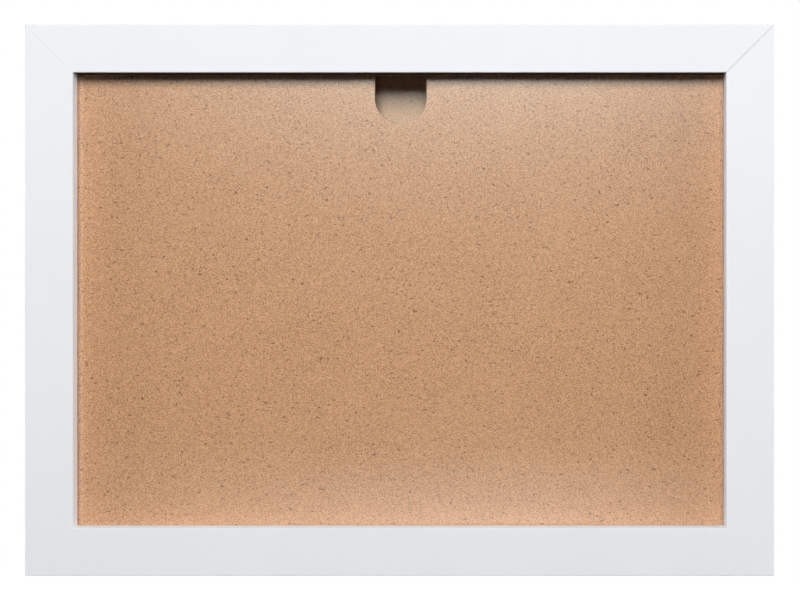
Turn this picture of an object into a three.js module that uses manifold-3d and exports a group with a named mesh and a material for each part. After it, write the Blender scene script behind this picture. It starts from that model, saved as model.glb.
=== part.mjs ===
// Children's art frame: a hinged picture frame that closes a shallow storage box on the wall.
// Millimetres. X runs to the right, Y from the front towards the wall and Z up.
// The wall plane is y = 0, and the outline is centred on x = 0 and z = 0.
import * as THREE from "three";
import { mergeVertices } from "three/addons/utils/BufferGeometryUtils.js";
import Module from "manifold-3d";

// Drawing on show, a landscape sheet
const SHEET_WIDTH = 297;
const SHEET_HEIGHT = 210;
const SHEET_CLEARANCE = 1; // from each sheet edge to the rebate and to the box walls
const SIGHT_MARGIN = 5; // strip of each sheet edge that the lip hides
const PICTURE_GAP = 0.5; // room for the drawing between glazing and board

// Door: mitred rails round a glazing sheet and a backing board
const RAIL_WIDTH = 21;
const LIP_DEPTH = 6.5;
const OUTER_ARRIS = 0.6;
const SIGHT_ARRIS = 0.3;
const BACK_ARRIS = 0.6;
const MITRE_GAP = 0.12;
const PANE_CLEARANCE = 0.5; // from glazing and board to the rebate
const GLAZING_THICKNESS = 1.5;
const BOARD_THICKNESS = 3;
const NOTCH_WIDTH = 23;
const NOTCH_DEPTH = 27;

// V-nails that pull the mitres together
const V_NAIL_WING = 6;
const V_NAIL_THICKNESS = 0.5;
const V_NAIL_HEIGHT = 5;
const V_NAIL_INSET = 7; // from each outer face to the apex

// Storage box
const DOOR_GAP = 0.5;
const BOX_WALL = 9;
const WALL_ARRIS = 0.6;
const STORAGE_DEPTH = 10;
const PANEL_THICKNESS = 3;
const PANEL_CLEARANCE = 0.3;
const LEDGE_WIDTH = 4;

// Panel pins
const PIN_NAIL_RADIUS = 0.6;
const PIN_NAIL_HEAD_RADIUS = 1.2;
const PIN_NAIL_HEAD_HEIGHT = 0.5;
const PIN_NAIL_LENGTH = 9;
const PIN_NAIL_FROM_END = 48; // from the box's left and right faces to the outer pins

// Butt hinges on the left
const HINGE_FROM_END = 46; // from the door's top and bottom to each hinge's middle
const HINGE_LENGTH = 30;
const LEAF_WIDTH = 8;
const LEAF_THICKNESS = 0.8;
const KNUCKLE_RADIUS = 1.6;
const KNUCKLE_SIDE_CLEARANCE = 0.2; // from the knuckle to the box's side
const KNUCKLE_RELIEF = 0.4; // round the knuckle, in wood and in the other leaf
const KNUCKLE_GAP = 0.3; // between neighbouring knuckles
const HINGE_PIN_RADIUS = 0.8;
const HINGE_PIN_CLEARANCE = 0.15;
const LEAF_SCREW_OFFSET = 9; // from the hinge's middle to each screw
const LEAF_SCREW_RADIUS = 0.9;
const LEAF_SCREW_HEAD_RADIUS = 1.8;
const LEAF_SCREW_LENGTH = 8;

// Magnetic catch on the right
const MAGNET_FROM_END = 46; // from the door's top and bottom to each magnet
const MAGNET_RADIUS = 3;
const MAGNET_DEPTH = 2.5;
const KEEPER_RADIUS = 3;
const KEEPER_DEPTH = 1.5;

// Turn buttons that hold the backing board
const BUTTON_FROM_END = 80; // from the door's left and right to each pivot
const BUTTON_INSET = 3.8; // from the rebate to the pivot
const BUTTON_WIDTH = 6;
const BUTTON_REACH = 13; // from the pivot to the tip
const BUTTON_THICKNESS = 1;
const BUTTON_GAP = 0.2; // under the button and under its screw's head
const BUTTON_RELIEF = 0.5; // round the button's sweep, in the box wall
const BUTTON_SCREW_RADIUS = 1.1;
const BUTTON_SCREW_HEAD_RADIUS = 2.4;
const BUTTON_SCREW_HEAD_HEIGHT = 1.2;
const BUTTON_SCREW_LENGTH = 7;

// Screw recesses
const SCREW_SLOT_WIDTH = 0.5;
const SCREW_SLOT_DEPTH = 0.4;

// Sawtooth hangers, riveted to the rear panel
const HANGER_LENGTH = 45;
const HANGER_HEIGHT = 9;
const HANGER_THICKNESS = 0.8;
const HANGER_STANDOFF = 1.2; // from the panel to the toothed strip
const HANGER_PAD = 8; // length of each riveted end
const HANGER_RAMP = 2;
const HANGER_DROP = 14; // from the panel's edge to the hanger's middle
const TOOTH_PITCH = 3;
const TOOTH_DEPTH = 1.8;
const RIVET_RADIUS = 1.2;
const RIVET_HEAD_RADIUS = 2.2;
const RIVET_HEAD_HEIGHT = 0.7;

// Rubber bumpers between the rear panel and the wall
const BUMPER_RADIUS = 5;
const BUMPER_THICKNESS = 2.5;
const BUMPER_ARRIS = 0.8;
const BUMPER_INSET = 12; // from the panel's edges to the bumper's middle

// Fits and fineness
const FIT_GAP = 0.3; // round a piece that is let into another
const CUT_OVERRUN = 1; // by which a cutter passes the face that it opens
const ROUND_SEGMENTS = 20;
const FASTENER_SEGMENTS = 12;
const ARC_SEGMENTS = 5;
const WELD_DISTANCE = 1e-4;

// Sizes that follow from the ones above
const sightWidth = SHEET_WIDTH - 2 * SIGHT_MARGIN;
const sightHeight = SHEET_HEIGHT - 2 * SIGHT_MARGIN;
const doorWidth = sightWidth + 2 * RAIL_WIDTH;
const doorHeight = sightHeight + 2 * RAIL_WIDTH;
const doorDepth = LIP_DEPTH + GLAZING_THICKNESS + PICTURE_GAP + BOARD_THICKNESS;
const innerWidth = SHEET_WIDTH + 2 * SHEET_CLEARANCE;
const innerHeight = SHEET_HEIGHT + 2 * SHEET_CLEARANCE;
const rebateWidth = SIGHT_MARGIN + SHEET_CLEARANCE;
const boxWidth = innerWidth + 2 * BOX_WALL;
const boxHeight = innerHeight + 2 * BOX_WALL;
const boxDepth = STORAGE_DEPTH + PANEL_THICKNESS;
const panelWidth = innerWidth + 2 * (LEDGE_WIDTH - PANEL_CLEARANCE);
const panelHeight = innerHeight + 2 * (LEDGE_WIDTH - PANEL_CLEARANCE);
const paneWidth = innerWidth - 2 * PANE_CLEARANCE;
const paneHeight = innerHeight - 2 * PANE_CLEARANCE;
const doorFront = -(BUMPER_THICKNESS + boxDepth + DOOR_GAP + doorDepth);
const boxFront = doorFront + doorDepth + DOOR_GAP;
const axisBeyondBox = KNUCKLE_RADIUS + KNUCKLE_SIDE_CLEARANCE;
const axisInsideDoor = doorWidth / 2 - boxWidth / 2 - axisBeyondBox;
const hingeZ = doorHeight / 2 - HINGE_FROM_END;
const magnetZ = doorHeight / 2 - MAGNET_FROM_END;
const buttonPivotX = doorWidth / 2 - BUTTON_FROM_END;
const panelNailX = boxWidth / 2 - PIN_NAIL_FROM_END;
const rivetX = HANGER_LENGTH / 2 - HANGER_PAD / 2;
const knuckleLength = (HINGE_LENGTH - 2 * KNUCKLE_GAP) / 3;
const knuckleStep = knuckleLength + KNUCKLE_GAP;
const leafScrewReach = (axisBeyondBox + LEAF_WIDTH) / 2; // from the hinge axis
const buttonUnderside = doorDepth + BUTTON_GAP;
const buttonScrewSeat = buttonUnderside + BUTTON_THICKNESS + BUTTON_GAP;
const buttonReliefDepth = buttonScrewSeat + BUTTON_SCREW_HEAD_HEIGHT + BUTTON_RELIEF - doorDepth - DOOR_GAP;

const SIDES = [
  { name: "top", turn: 0, level: true },
  { name: "right", turn: Math.PI / 2, level: false },
  { name: "bottom", turn: Math.PI, level: true },
  { name: "left", turn: -Math.PI / 2, level: false },
];
const CORNERS = [
  { name: "top_right", x: 1, z: 1, turn: 0 },
  { name: "bottom_right", x: 1, z: -1, turn: Math.PI / 2 },
  { name: "bottom_left", x: -1, z: -1, turn: Math.PI },
  { name: "top_left", x: -1, z: 1, turn: -Math.PI / 2 },
];
const HEIGHTS = [
  { name: "upper", sign: 1 },
  { name: "lower", sign: -1 },
];

const FINISHES = {
  whitePaint: { color: 0xf1f2f3, roughness: 0.45, metalness: 0 },
  fibreboard: { color: 0xc49876, roughness: 0.85, metalness: 0 },
  clearAcrylic: { color: 0xf4f8fa, roughness: 0.05, metalness: 0, transparent: true, opacity: 0.15 },
  zincSteel: { color: 0xb9bcc0, roughness: 0.35, metalness: 1 },
  brassPlate: { color: 0xc7a45c, roughness: 0.3, metalness: 1 },
  nickel: { color: 0xcfd0d2, roughness: 0.2, metalness: 1 },
  greyRubber: { color: 0x9a9a98, roughness: 0.8, metalness: 0 },
};

const wasm = await Module();
wasm.setup();

/** A closed geometry as a solid that can be joined and cut. */
function solidOf(geometry) {
  const bare = new THREE.BufferGeometry();
  bare.setAttribute("position", geometry.getAttribute("position"));
  bare.setIndex(geometry.index);
  const merged = mergeVertices(bare, WELD_DISTANCE);
  const kept = [];
  for (let i = 0; i < merged.index.count; i += 3) {
    const corners = [0, 1, 2].map((k) => merged.index.getX(i + k));
    if (new Set(corners).size === 3) kept.push(...corners);
  }
  const mesh = new wasm.Mesh({
    numProp: 3,
    vertProperties: merged.getAttribute("position").array,
    triVerts: Uint32Array.from(kept),
  });
  return new wasm.Manifold(mesh);
}

/** A solid's surface as a three.js geometry. */
function geometryOf(solid) {
  const mesh = solid.getMesh();
  const geometry = new THREE.BufferGeometry();
  geometry.setAttribute("position", new THREE.BufferAttribute(mesh.vertProperties, 3));
  geometry.setIndex(new THREE.BufferAttribute(mesh.triVerts, 1));
  geometry.computeVertexNormals();
  return geometry;
}

/** The first geometry joined with the others. */
function joined(first, others) {
  return geometryOf(others.reduce((solid, other) => solid.add(solidOf(other)), solidOf(first)));
}

/** A geometry with the cutters taken out of it. */
function cut(geometry, cutters) {
  return geometryOf(cutters.reduce((solid, cutter) => solid.subtract(solidOf(cutter)), solidOf(geometry)));
}

/** A named mesh with a material of its own. */
function piece(name, geometry, finish) {
  const mesh = new THREE.Mesh(geometry, new THREE.MeshStandardMaterial(finish));
  mesh.name = name;
  return mesh;
}

/** A box between two corners. */
function block(low, high) {
  const size = high.map((value, axis) => value - low[axis]);
  const middle = high.map((value, axis) => (value + low[axis]) / 2);
  return new THREE.BoxGeometry(...size).translate(...middle);
}

/** A flat outline in X and Z, from y = 0 to its thickness. */
function plate(shape, thickness, curveSegments = FASTENER_SEGMENTS) {
  const options = { depth: thickness, bevelEnabled: false, curveSegments };
  return new THREE.ExtrudeGeometry(shape, options).rotateX(Math.PI / 2).translate(0, thickness, 0);
}

/** A round bar along Y, from one depth to another. */
function disc(radius, from, to, segments = FASTENER_SEGMENTS) {
  const bar = new THREE.CylinderGeometry(radius, radius, to - from, segments);
  return bar.translate(0, (from + to) / 2, 0);
}

/** A turned piece about Y, from its [radius, y] profile listed towards +Y. */
function turned(profile, segments = FASTENER_SEGMENTS) {
  const points = profile.map(([radius, y]) => new THREE.Vector2(radius, y));
  return new THREE.LatheGeometry(points, segments);
}

/** A counter-clockwise outline of square corners, each [x, y, corner radius]. */
function outline(corners) {
  const shape = new THREE.Shape();
  corners.forEach(([x, y, radius], index) => {
    const corner = new THREE.Vector2(x, y);
    const towards = (step) => {
      const [nextX, nextY] = corners[(index + step + corners.length) % corners.length];
      return new THREE.Vector2(nextX, nextY).sub(corner).normalize();
    };
    if (radius) {
      const after = towards(1);
      const centre = towards(-1).add(after).multiplyScalar(radius).add(corner);
      const start = Math.atan2(-after.y, -after.x);
      shape.absarc(centre.x, centre.y, radius, start, start + Math.PI / 2, false);
    } else {
      shape.lineTo(x, y);
    }
  });
  return shape;
}

/**
 * A bar along X with both ends mitred. Its profile runs inwards from the outer face, which lies at
 * z = 0 with the bar below it, and back from y = 0.
 */
function mitredBar(profile, length) {
  const options = { depth: length, bevelEnabled: false, curveSegments: ARC_SEGMENTS };
  const bar = new THREE.ExtrudeGeometry(profile, options).rotateY(Math.PI / 2).translate(-length / 2, 0, 0);
  const position = bar.getAttribute("position");
  const halfGap = MITRE_GAP / Math.SQRT2;
  for (let i = 0; i < position.count; i += 1) {
    const end = Math.sign(position.getX(i));
    position.setX(i, end * (length / 2 + position.getZ(i) - halfGap));
  }
  return bar;
}

/** Turns a bar to its side of a rectangle. */
function placeOnSide(mesh, side, width, height) {
  mesh.rotation.y = side.turn;
  mesh.position.set((Math.sin(side.turn) * width) / 2, 0, (Math.cos(side.turn) * height) / 2);
  return mesh;
}

/**
 * A V-nail with its apex at the origin, its wings along -X and -Z and its head in the door's back
 * face. With a clearance it is the cutter for its slot, run out through that face.
 */
function vNail(clearance) {
  const half = V_NAIL_THICKNESS / 2 + clearance;
  const reach = V_NAIL_WING + clearance;
  const section = new THREE.Shape([
    new THREE.Vector2(half, half),
    new THREE.Vector2(-reach, half),
    new THREE.Vector2(-reach, -half),
    new THREE.Vector2(-half, -half),
    new THREE.Vector2(-half, -reach),
    new THREE.Vector2(half, -reach),
  ]);
  return plate(section, V_NAIL_HEIGHT + 2 * clearance).translate(0, doorDepth - V_NAIL_HEIGHT - clearance, 0);
}

/** A wood screw about Y with its countersunk head's face at y = 0 and its point towards -Y. */
function countersunkScrew(clearance) {
  const shank = LEAF_SCREW_RADIUS + clearance;
  return turned([
    [0, -LEAF_SCREW_LENGTH - clearance],
    [shank, -LEAF_SCREW_LENGTH + LEAF_SCREW_RADIUS - clearance],
    [shank, -LEAF_THICKNESS],
    [LEAF_SCREW_HEAD_RADIUS + clearance, 0],
    [LEAF_SCREW_HEAD_RADIUS + clearance, clearance],
    [0, clearance],
  ]);
}

/** A cross of two slots to sink into a screw head whose face is at y = 0. */
function crossSlots(headRadius) {
  const half = SCREW_SLOT_WIDTH / 2;
  const reach = headRadius * Math.SQRT1_2;
  return [
    block([-reach, -SCREW_SLOT_DEPTH, -half], [reach, CUT_OVERRUN, half]),
    block([-half, -SCREW_SLOT_DEPTH, -reach], [half, CUT_OVERRUN, reach]),
  ];
}

/** The L-section of the door's moulding: lip in front, rebate behind. */
function railProfile() {
  return outline([
    [0, 0, OUTER_ARRIS],
    [RAIL_WIDTH, 0, SIGHT_ARRIS],
    [RAIL_WIDTH, LIP_DEPTH, 0],
    [RAIL_WIDTH - rebateWidth, LIP_DEPTH, 0],
    [RAIL_WIDTH - rebateWidth, doorDepth, 0],
    [0, doorDepth, BACK_ARRIS],
  ]);
}

/** The section of the box's walls, with a ledge for the rear panel. */
function wallProfile() {
  return outline([
    [0, 0, WALL_ARRIS],
    [BOX_WALL, 0, 0],
    [BOX_WALL, STORAGE_DEPTH, 0],
    [BOX_WALL - LEDGE_WIDTH, STORAGE_DEPTH, 0],
    [BOX_WALL - LEDGE_WIDTH, boxDepth, 0],
    [0, boxDepth, WALL_ARRIS],
  ]);
}

/** Both ends' V-nail slots in a rail of the given length. */
function railEndCutters(length) {
  const apex = length / 2 - V_NAIL_INSET;
  return [
    vNail(FIT_GAP).translate(apex, 0, -V_NAIL_INSET),
    vNail(FIT_GAP).rotateY(-Math.PI / 2).translate(-apex, 0, -V_NAIL_INSET),
  ];
}

/** The recess, knuckle groove and screw holes of one hinge in the left rail. */
function railHingeCutters(sign) {
  const half = HINGE_LENGTH / 2 + FIT_GAP;
  const floor = doorDepth - LEAF_THICKNESS;
  const recess = block(
    [-half, floor, -axisInsideDoor - LEAF_WIDTH - FIT_GAP],
    [half, doorDepth + CUT_OVERRUN, -axisInsideDoor],
  );
  const groove = disc(KNUCKLE_RADIUS + KNUCKLE_RELIEF, -half, half, ROUND_SEGMENTS)
    .rotateZ(Math.PI / 2)
    .translate(0, doorDepth + DOOR_GAP / 2, -axisInsideDoor);
  const holes = [-1, 1].map((end) =>
    countersunkScrew(FIT_GAP).translate(end * LEAF_SCREW_OFFSET, doorDepth, -axisInsideDoor - leafScrewReach),
  );
  return [recess, groove, ...holes].map((cutter) => cutter.translate(sign * hingeZ, 0, 0));
}

/** The recess and screw holes of one hinge in the box's left wall. */
function wallHingeCutters(sign) {
  const half = HINGE_LENGTH / 2 + FIT_GAP;
  const recess = block(
    [-half, -CUT_OVERRUN, axisBeyondBox - LEAF_WIDTH - FIT_GAP],
    [half, LEAF_THICKNESS, CUT_OVERRUN],
  );
  const holes = [-1, 1].map((end) =>
    countersunkScrew(FIT_GAP)
      .rotateX(Math.PI)
      .translate(end * LEAF_SCREW_OFFSET, 0, axisBeyondBox - leafScrewReach),
  );
  return [recess, ...holes].map((cutter) => cutter.translate(sign * hingeZ, 0, 0));
}

/** One door rail with its cuts. */
function doorRail(side) {
  const length = side.level ? doorWidth : doorHeight;
  const cutters = railEndCutters(length);
  if (side.name === "left") {
    cutters.push(...HEIGHTS.flatMap(({ sign }) => railHingeCutters(sign)));
  } else if (side.name === "right") {
    const inwards = rebateWidth - RAIL_WIDTH + BOX_WALL / 2;
    const floor = doorDepth - MAGNET_DEPTH;
    const pocket = () => disc(MAGNET_RADIUS + FIT_GAP, floor, doorDepth + CUT_OVERRUN, ROUND_SEGMENTS);
    cutters.push(...HEIGHTS.map(({ sign }) => pocket().translate(sign * magnetZ, 0, inwards)));
  } else {
    const inwards = rebateWidth - RAIL_WIDTH + BUTTON_INSET;
    const depth = doorDepth - BUTTON_SCREW_LENGTH - FIT_GAP;
    const hole = () => disc(BUTTON_SCREW_RADIUS + FIT_GAP, depth, doorDepth + CUT_OVERRUN);
    cutters.push(...[-1, 1].map((end) => hole().translate(end * buttonPivotX, 0, inwards)));
  }
  const bar = cut(mitredBar(railProfile(), length), cutters);
  return placeOnSide(piece(`${side.name}_rail`, bar, FINISHES.whitePaint), side, doorWidth, doorHeight);
}

/** The glazing sheet, against the back of the lip. */
function glazing() {
  const sheet = block(
    [-paneWidth / 2, LIP_DEPTH, -paneHeight / 2],
    [paneWidth / 2, LIP_DEPTH + GLAZING_THICKNESS, paneHeight / 2],
  );
  return piece("glazing", sheet, FINISHES.clearAcrylic);
}

/** The backing board, with a round-bottomed finger notch in the middle of its top edge. */
function backingBoard() {
  const top = paneHeight / 2;
  const half = NOTCH_WIDTH / 2;
  const shape = new THREE.Shape();
  shape.moveTo(-paneWidth / 2, -top);
  shape.lineTo(paneWidth / 2, -top);
  shape.lineTo(paneWidth / 2, top);
  shape.lineTo(half, top);
  shape.absarc(0, top - NOTCH_DEPTH + half, half, 0, -Math.PI, true);
  shape.lineTo(-half, top);
  shape.lineTo(-paneWidth / 2, top);
  const board = plate(shape, BOARD_THICKNESS, ROUND_SEGMENTS).translate(0, doorDepth - BOARD_THICKNESS, 0);
  return piece("backing_board", board, FINISHES.fibreboard);
}

/** One V-nail across a mitre. */
function cornerNail(corner) {
  const nail = piece(`v_nail_${corner.name}`, vNail(0), FINISHES.zincSteel);
  nail.rotation.y = corner.turn;
  nail.position.x = corner.x * (doorWidth / 2 - V_NAIL_INSET);
  nail.position.z = corner.z * (doorHeight / 2 - V_NAIL_INSET);
  return nail;
}

/** One turn button and the screw that it pivots on, with its tip over the board. */
function turnButton(corner) {
  const half = BUTTON_WIDTH / 2;
  const strip = new THREE.Shape();
  strip.absarc(0, 0, half, 0, Math.PI, false);
  strip.absarc(0, half - BUTTON_REACH, half, Math.PI, 2 * Math.PI, false);
  const hole = disc(BUTTON_SCREW_RADIUS + FIT_GAP, -CUT_OVERRUN, BUTTON_THICKNESS + CUT_OVERRUN);
  const blade = cut(plate(strip, BUTTON_THICKNESS), [hole]).translate(0, buttonUnderside, 0);
  const headTop = buttonScrewSeat + BUTTON_SCREW_HEAD_HEIGHT;
  const bar = turned([
    [0, doorDepth - BUTTON_SCREW_LENGTH],
    [BUTTON_SCREW_RADIUS, doorDepth - BUTTON_SCREW_LENGTH + BUTTON_SCREW_RADIUS],
    [BUTTON_SCREW_RADIUS, buttonScrewSeat],
    [BUTTON_SCREW_HEAD_RADIUS, buttonScrewSeat],
    [BUTTON_SCREW_HEAD_RADIUS, headTop - BUTTON_SCREW_HEAD_HEIGHT / 2],
    [BUTTON_SCREW_HEAD_RADIUS - BUTTON_SCREW_HEAD_HEIGHT / 2, headTop],
    [0, headTop],
  ]);
  const slots = crossSlots(BUTTON_SCREW_HEAD_RADIUS).map((slot) => slot.translate(0, headTop, 0));
  const group = new THREE.Group();
  group.add(piece(`turn_button_${corner.name}`, blade, FINISHES.brassPlate));
  group.add(piece(`turn_button_screw_${corner.name}`, cut(bar, slots), FINISHES.brassPlate));
  group.rotation.y = corner.z > 0 ? 0 : Math.PI;
  group.position.set(corner.x * buttonPivotX, 0, corner.z * (innerHeight / 2 + BUTTON_INSET));
  return group;
}

/** One magnet of the catch, let into the right rail. */
function doorMagnet(height) {
  const magnet = disc(MAGNET_RADIUS, doorDepth - MAGNET_DEPTH, doorDepth, ROUND_SEGMENTS);
  const mesh = piece(`${height.name}_door_magnet`, magnet, FINISHES.nickel);
  mesh.position.set(innerWidth / 2 + BOX_WALL / 2, 0, height.sign * magnetZ);
  return mesh;
}

/** The hollow in a level wall that clears a turn button as its tip swings towards the wall's middle. */
function buttonRelief(sign) {
  const beside = BUTTON_WIDTH / 2 + BUTTON_RELIEF;
  const ends = [buttonPivotX - BUTTON_REACH - BUTTON_RELIEF, buttonPivotX + beside].map((x) => sign * x);
  return block(
    [Math.min(...ends), -CUT_OVERRUN, -BOX_WALL - CUT_OVERRUN],
    [Math.max(...ends), buttonReliefDepth, BUTTON_INSET - BOX_WALL + beside],
  );
}

/** One box wall with its cuts. */
function boxWall(side) {
  const length = side.level ? boxWidth : boxHeight;
  const nails = side.level ? [-panelNailX, 0, panelNailX] : [0];
  const cutters = nails.map((x) => panelNail(FIT_GAP).translate(x, boxDepth, LEDGE_WIDTH / 2 - BOX_WALL));
  if (side.name === "left") {
    cutters.push(...HEIGHTS.flatMap(({ sign }) => wallHingeCutters(sign)));
  } else if (side.name === "right") {
    const pocket = () => disc(KEEPER_RADIUS + FIT_GAP, -CUT_OVERRUN, KEEPER_DEPTH, ROUND_SEGMENTS);
    cutters.push(...HEIGHTS.map(({ sign }) => pocket().translate(sign * magnetZ, 0, -BOX_WALL / 2)));
  } else {
    cutters.push(...[-1, 1].map(buttonRelief));
  }
  const bar = cut(mitredBar(wallProfile(), length), cutters);
  return placeOnSide(piece(`box_${side.name}_wall`, bar, FINISHES.whitePaint), side, boxWidth, boxHeight);
}

/** A panel pin about Y with its head's face at y = 0 and its point towards -Y. */
function panelNail(clearance) {
  const shank = PIN_NAIL_RADIUS + clearance;
  const head = PIN_NAIL_HEAD_RADIUS + clearance;
  return turned([
    [0, -PIN_NAIL_LENGTH - clearance],
    [shank, PIN_NAIL_HEAD_RADIUS - PIN_NAIL_LENGTH - clearance],
    [shank, -PIN_NAIL_HEAD_HEIGHT],
    [head, -PIN_NAIL_HEAD_HEIGHT],
    [head, clearance],
    [0, clearance],
  ]);
}

/** Where the panel pins go in, as { name, x, z }, along the middle of the ledge. */
function panelNailPlaces() {
  const rise = innerHeight / 2 + LEDGE_WIDTH / 2;
  const reach = innerWidth / 2 + LEDGE_WIDTH / 2;
  const rows = HEIGHTS.flatMap(({ name, sign }) => [
    { name: `${name}_left`, x: -panelNailX, z: sign * rise },
    { name: `${name}_middle`, x: 0, z: sign * rise },
    { name: `${name}_right`, x: panelNailX, z: sign * rise },
  ]);
  return [...rows, { name: "side_left", x: -reach, z: 0 }, { name: "side_right", x: reach, z: 0 }];
}

/** A rivet about Y: flush with the panel's inside, through panel and hanger, with its head outside. */
function rivet() {
  const seat = boxDepth + HANGER_THICKNESS;
  return turned([
    [0, STORAGE_DEPTH],
    [RIVET_RADIUS, STORAGE_DEPTH],
    [RIVET_RADIUS, seat],
    [RIVET_HEAD_RADIUS, seat],
    [RIVET_HEAD_RADIUS, seat + RIVET_HEAD_HEIGHT / 2],
    [RIVET_HEAD_RADIUS - RIVET_HEAD_HEIGHT / 2, seat + RIVET_HEAD_HEIGHT],
    [0, seat + RIVET_HEAD_HEIGHT],
  ]);
}

/** The two hangers: one for landscape and one, on the hinge side, for portrait. */
function hangerPlaces() {
  return [
    { name: "landscape", turn: 0, x: 0, z: panelHeight / 2 - HANGER_DROP },
    { name: "portrait", turn: -Math.PI / 2, x: HANGER_DROP - panelWidth / 2, z: 0 },
  ];
}

/** A sawtooth hanger along X with its feet on the panel and its teeth towards -Z. */
function hangerStrip() {
  const end = HANGER_LENGTH / 2;
  const ramp = end - HANGER_PAD;
  const rise = ramp - HANGER_RAMP;
  const foot = [
    [-end, 0],
    [-ramp, 0],
    [-rise, HANGER_STANDOFF],
    [rise, HANGER_STANDOFF],
    [ramp, 0],
    [end, 0],
  ];
  const back = foot.map(([x, y]) => [x, y + HANGER_THICKNESS]).reverse();
  const section = new THREE.Shape([...foot, ...back].map(([x, y]) => new THREE.Vector2(x, y)));
  const options = { depth: HANGER_HEIGHT, bevelEnabled: false };
  const strip = new THREE.ExtrudeGeometry(section, options).translate(0, 0, -HANGER_HEIGHT / 2);
  const teeth = Math.floor((2 * rise) / TOOTH_PITCH);
  const gaps = Array.from({ length: teeth }, (_, index) => {
    const x = (index - (teeth - 1) / 2) * TOOTH_PITCH;
    const tooth = new THREE.Shape([
      new THREE.Vector2(x - TOOTH_PITCH / 2, -HANGER_HEIGHT / 2 - CUT_OVERRUN),
      new THREE.Vector2(x + TOOTH_PITCH / 2, -HANGER_HEIGHT / 2 - CUT_OVERRUN),
      new THREE.Vector2(x, TOOTH_DEPTH - HANGER_HEIGHT / 2),
    ]);
    return plate(tooth, HANGER_STANDOFF + HANGER_THICKNESS + CUT_OVERRUN);
  });
  const holes = [-1, 1].map((side) =>
    disc(RIVET_RADIUS + FIT_GAP, -CUT_OVERRUN, HANGER_THICKNESS + CUT_OVERRUN).translate(side * rivetX, 0, 0),
  );
  return cut(strip, [...gaps, ...holes]);
}

/** A hanger with its two rivets. */
function hanger(place) {
  const strip = hangerStrip().translate(0, boxDepth, 0);
  const group = new THREE.Group();
  group.add(piece(`${place.name}_hanger`, strip, FINISHES.zincSteel));
  [-1, 1].forEach((side, index) => {
    const mesh = piece(`${place.name}_hanger_rivet_${index + 1}`, rivet(), FINISHES.zincSteel);
    mesh.position.x = side * rivetX;
    group.add(mesh);
  });
  group.rotation.y = place.turn;
  group.position.set(place.x, 0, place.z);
  return group;
}

/** The rear panel, let into the walls and drilled for its pins and rivets. */
function backPanel() {
  const board = block(
    [-panelWidth / 2, STORAGE_DEPTH, -panelHeight / 2],
    [panelWidth / 2, boxDepth, panelHeight / 2],
  );
  const nails = panelNailPlaces().map(({ x, z }) => panelNail(FIT_GAP).translate(x, boxDepth, z));
  const rivets = hangerPlaces().flatMap(({ turn, x, z }) =>
    [-1, 1].map((side) => {
      const hole = disc(RIVET_RADIUS + FIT_GAP, STORAGE_DEPTH - CUT_OVERRUN, boxDepth + CUT_OVERRUN);
      return hole.translate(side * rivetX, 0, 0).rotateY(turn).translate(x, 0, z);
    }),
  );
  return piece("back_panel", cut(board, [...nails, ...rivets]), FINISHES.fibreboard);
}

/** One rubber bumper on the rear panel. */
function bumper(corner) {
  const profile = [
    [0, boxDepth],
    [BUMPER_RADIUS, boxDepth],
    [BUMPER_RADIUS, boxDepth + BUMPER_THICKNESS - BUMPER_ARRIS],
    [BUMPER_RADIUS - BUMPER_ARRIS, boxDepth + BUMPER_THICKNESS],
    [0, boxDepth + BUMPER_THICKNESS],
  ];
  const mesh = piece(`bumper_${corner.name}`, turned(profile, ROUND_SEGMENTS), FINISHES.greyRubber);
  mesh.position.x = corner.x * (panelWidth / 2 - BUMPER_INSET);
  mesh.position.z = corner.z * (panelHeight / 2 - BUMPER_INSET);
  return mesh;
}

/** One steel keeper disc, let into the right wall's front edge. */
function keeper(height) {
  const steel = disc(KEEPER_RADIUS, 0, KEEPER_DEPTH, ROUND_SEGMENTS);
  const mesh = piece(`${height.name}_keeper_disc`, steel, FINISHES.zincSteel);
  mesh.position.set(innerWidth / 2 + BOX_WALL / 2, 0, height.sign * magnetZ);
  return mesh;
}

/** A round bar along Z, centred on one height of the hinge axis. */
function axisBar(radius, length, middle) {
  const bar = new THREE.CylinderGeometry(radius, radius, length, ROUND_SEGMENTS);
  return bar.rotateX(Math.PI / 2).translate(0, 0, middle);
}

/**
 * A hinge leaf about the pin, which runs along Z at the origin. The side is -1 for the door's leaf
 * and 1 for the box's; own and other list the middles of its knuckles and of the other leaf's.
 */
function hingeLeaf(side, own, other) {
  const inner = (side * DOOR_GAP) / 2;
  const outer = inner + side * LEAF_THICKNESS;
  const end = HINGE_LENGTH / 2;
  const strip = block([0, Math.min(inner, outer), -end], [LEAF_WIDTH, Math.max(inner, outer), end]);
  const relief = KNUCKLE_RADIUS + KNUCKLE_RELIEF;
  const gaps = other.map((middle) =>
    block(
      [-relief, -relief, middle - knuckleLength / 2 - KNUCKLE_GAP],
      [relief, relief, middle + knuckleLength / 2 + KNUCKLE_GAP],
    ),
  );
  const knuckles = own.map((middle) => axisBar(KNUCKLE_RADIUS, knuckleLength, middle));
  const bore = axisBar(HINGE_PIN_RADIUS + HINGE_PIN_CLEARANCE, HINGE_LENGTH + 2 * CUT_OVERRUN, 0);
  const holes = [-1, 1].map((sign) => leafScrewAt(side, sign, FIT_GAP));
  return cut(joined(cut(strip, gaps), knuckles), [bore, ...holes]);
}

/** A leaf screw in its place on a hinge, with its head flush with the leaf's inner face. */
function leafScrewAt(side, sign, clearance) {
  const screw = countersunkScrew(clearance);
  const shaped = clearance ? screw : cut(screw, crossSlots(LEAF_SCREW_HEAD_RADIUS));
  const facing = side > 0 ? shaped.rotateX(Math.PI) : shaped;
  return facing.translate(leafScrewReach, (side * DOOR_GAP) / 2, sign * LEAF_SCREW_OFFSET);
}

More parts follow.
